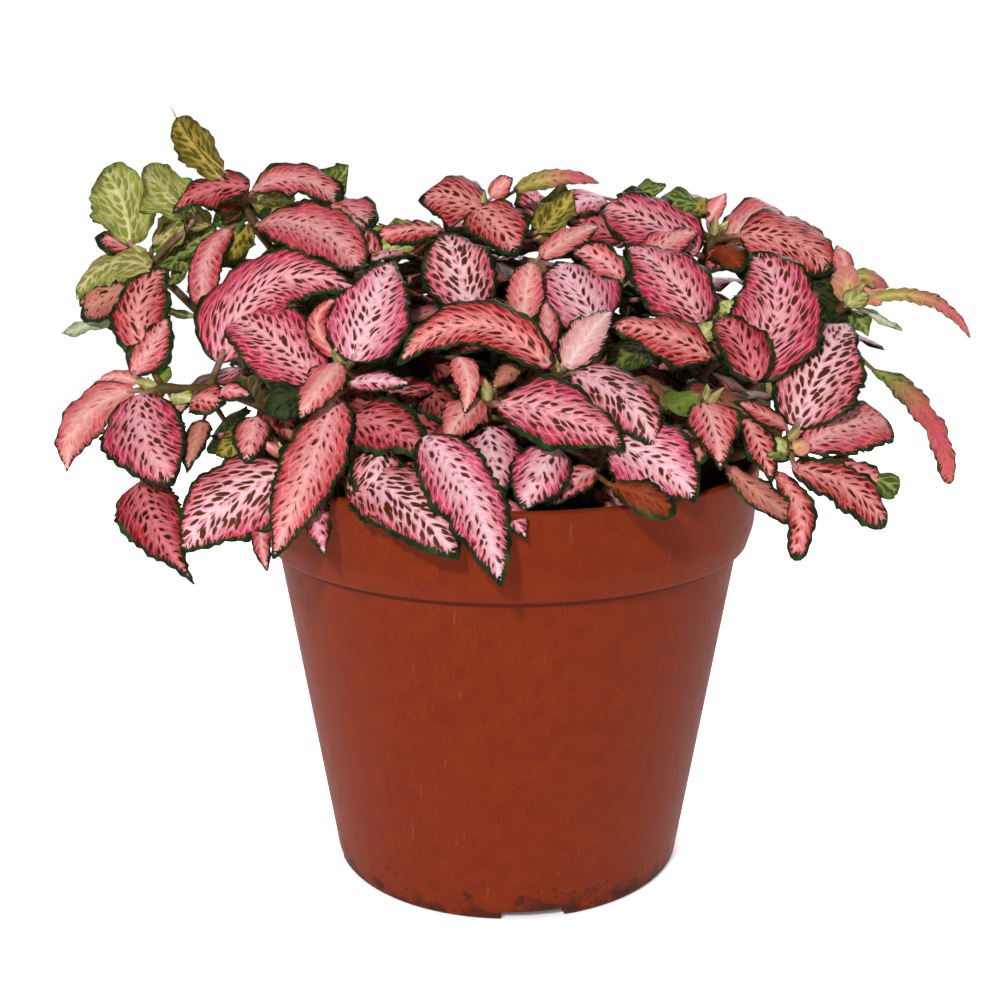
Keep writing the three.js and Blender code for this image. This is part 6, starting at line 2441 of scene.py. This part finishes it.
@dataclass(frozen=True)
class Lamp:
    """A square soft lamp: its power in watts, and its side and place in metres."""
    name: str
    energy: float
    size: float
    place: Point

    def hang(self, aim: Point) -> None:
        """Adds the lamp to the scene, facing a point in metres.

        Args:
            aim: the point.
        """
        data = bpy.data.lights.new(self.name, "AREA")
        data.energy, data.size = self.energy, self.size
        lamp = bpy.data.objects.new(self.name, data)
        lamp.location = self.place
        way = np.array(aim) - np.array(self.place)
        flat = math.hypot(way[0], way[1])
        lamp.rotation_euler = (math.atan2(flat, -way[2]), 0, math.atan2(-way[0], way[1]))
        bpy.context.scene.collection.objects.link(lamp)


@dataclass(frozen=True)
class Studio:
    """White paper under the plant, soft lamps over it, and a white room round it.

    The room is white up to a low height over the horizon and dim above, so that the lamps shape
    the plant and the ground behind it stays plain. horizon holds the heights, as shares of the
    whole, that its strength fades between. floor_radius and aim are metres.
    """
    floor_radius: float = 0.62
    floor_sides: int = 96
    floor_level: float = -0.05
    room_strength: float = 1.02
    sky_strength: float = 0.09
    horizon: Span = (0.07, 0.2)
    aim: Point = (0.0, 0.0, 0.09)
    lamps: tuple[Lamp, ...] = (
        Lamp("key_lamp", 13.4, 0.1, (-0.3, -0.98, 0.84)),
        Lamp("fill_lamp", 0.4, 0.9, (-0.9, -0.7, 0.45)),
        Lamp("top_lamp", 0.8, 1.4, (0.0, 0.1, 1.25)),
        Lamp("back_lamp", 8.0, 0.5, (0.3, 0.9, 0.7)),
    )

    def build(self, finish: bpy.types.Material) -> None:
        """Lays the paper, hangs the lamps and lights the room.

        Args:
            finish: the paper's material.
        """
        sides = self.floor_sides
        turn = np.linspace(0, 2 * math.pi, sides, endpoint=False)
        radius = self.floor_radius / METRES_PER_MM
        points = np.stack([radius * np.cos(turn), radius * np.sin(turn),
                           np.full(sides, self.floor_level)], axis=-1)
        floor = place_mesh("paper_floor", [Shell(points, [np.arange(sides)[None]])], [finish],
                           np.zeros(3), smooth=False)
        for lamp in self.lamps:
            lamp.hang(self.aim)
        world = bpy.data.worlds.new("studio")
        bpy.context.scene.world = world
        world.use_nodes = True
        tree = world.node_tree
        tree.nodes.clear()
        way = add_node(tree, "ShaderNodeSeparateXYZ", (
            add_node(tree, "ShaderNodeTexCoord").outputs["Generated"],)).outputs["Z"]
        strength = add_node(tree, "ShaderNodeMapRange", (
            way, *self.horizon, self.room_strength, self.sky_strength),
            interpolation_type="SMOOTHSTEP")
        light = add_node(tree, "ShaderNodeBackground", {
            "Color": (1.0, 1.0, 1.0, 1.0), "Strength": strength})
        add_node(tree, "ShaderNodeOutputWorld", {"Surface": light})
        bpy.context.scene.view_settings.view_transform = "Standard"


def main() -> None:
    """Builds the plant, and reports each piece."""
    logging.basicConfig(level=logging.INFO, format="%(name)s %(message)s", stream=sys.stdout)
    low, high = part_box("pot")
    axis = np.array(((low.x + high.x) / 2, (low.y + high.y) / 2, 0.0)) / METRES_PER_MM
    plant = Plant()
    plant.view.add_camera(axis)
    NurseryPot().build(axis, MouldedPolypropylene().material())
    PeatFill().build(axis, PottingPeat().material())
    finishes = (LeafFlesh().material(), StemSkin().material())
    for stem in plant.stems():
        stem.build(axis, finishes)
    Studio().build(StudioPaper().material(axis))


if __name__ == "__main__":
    main()
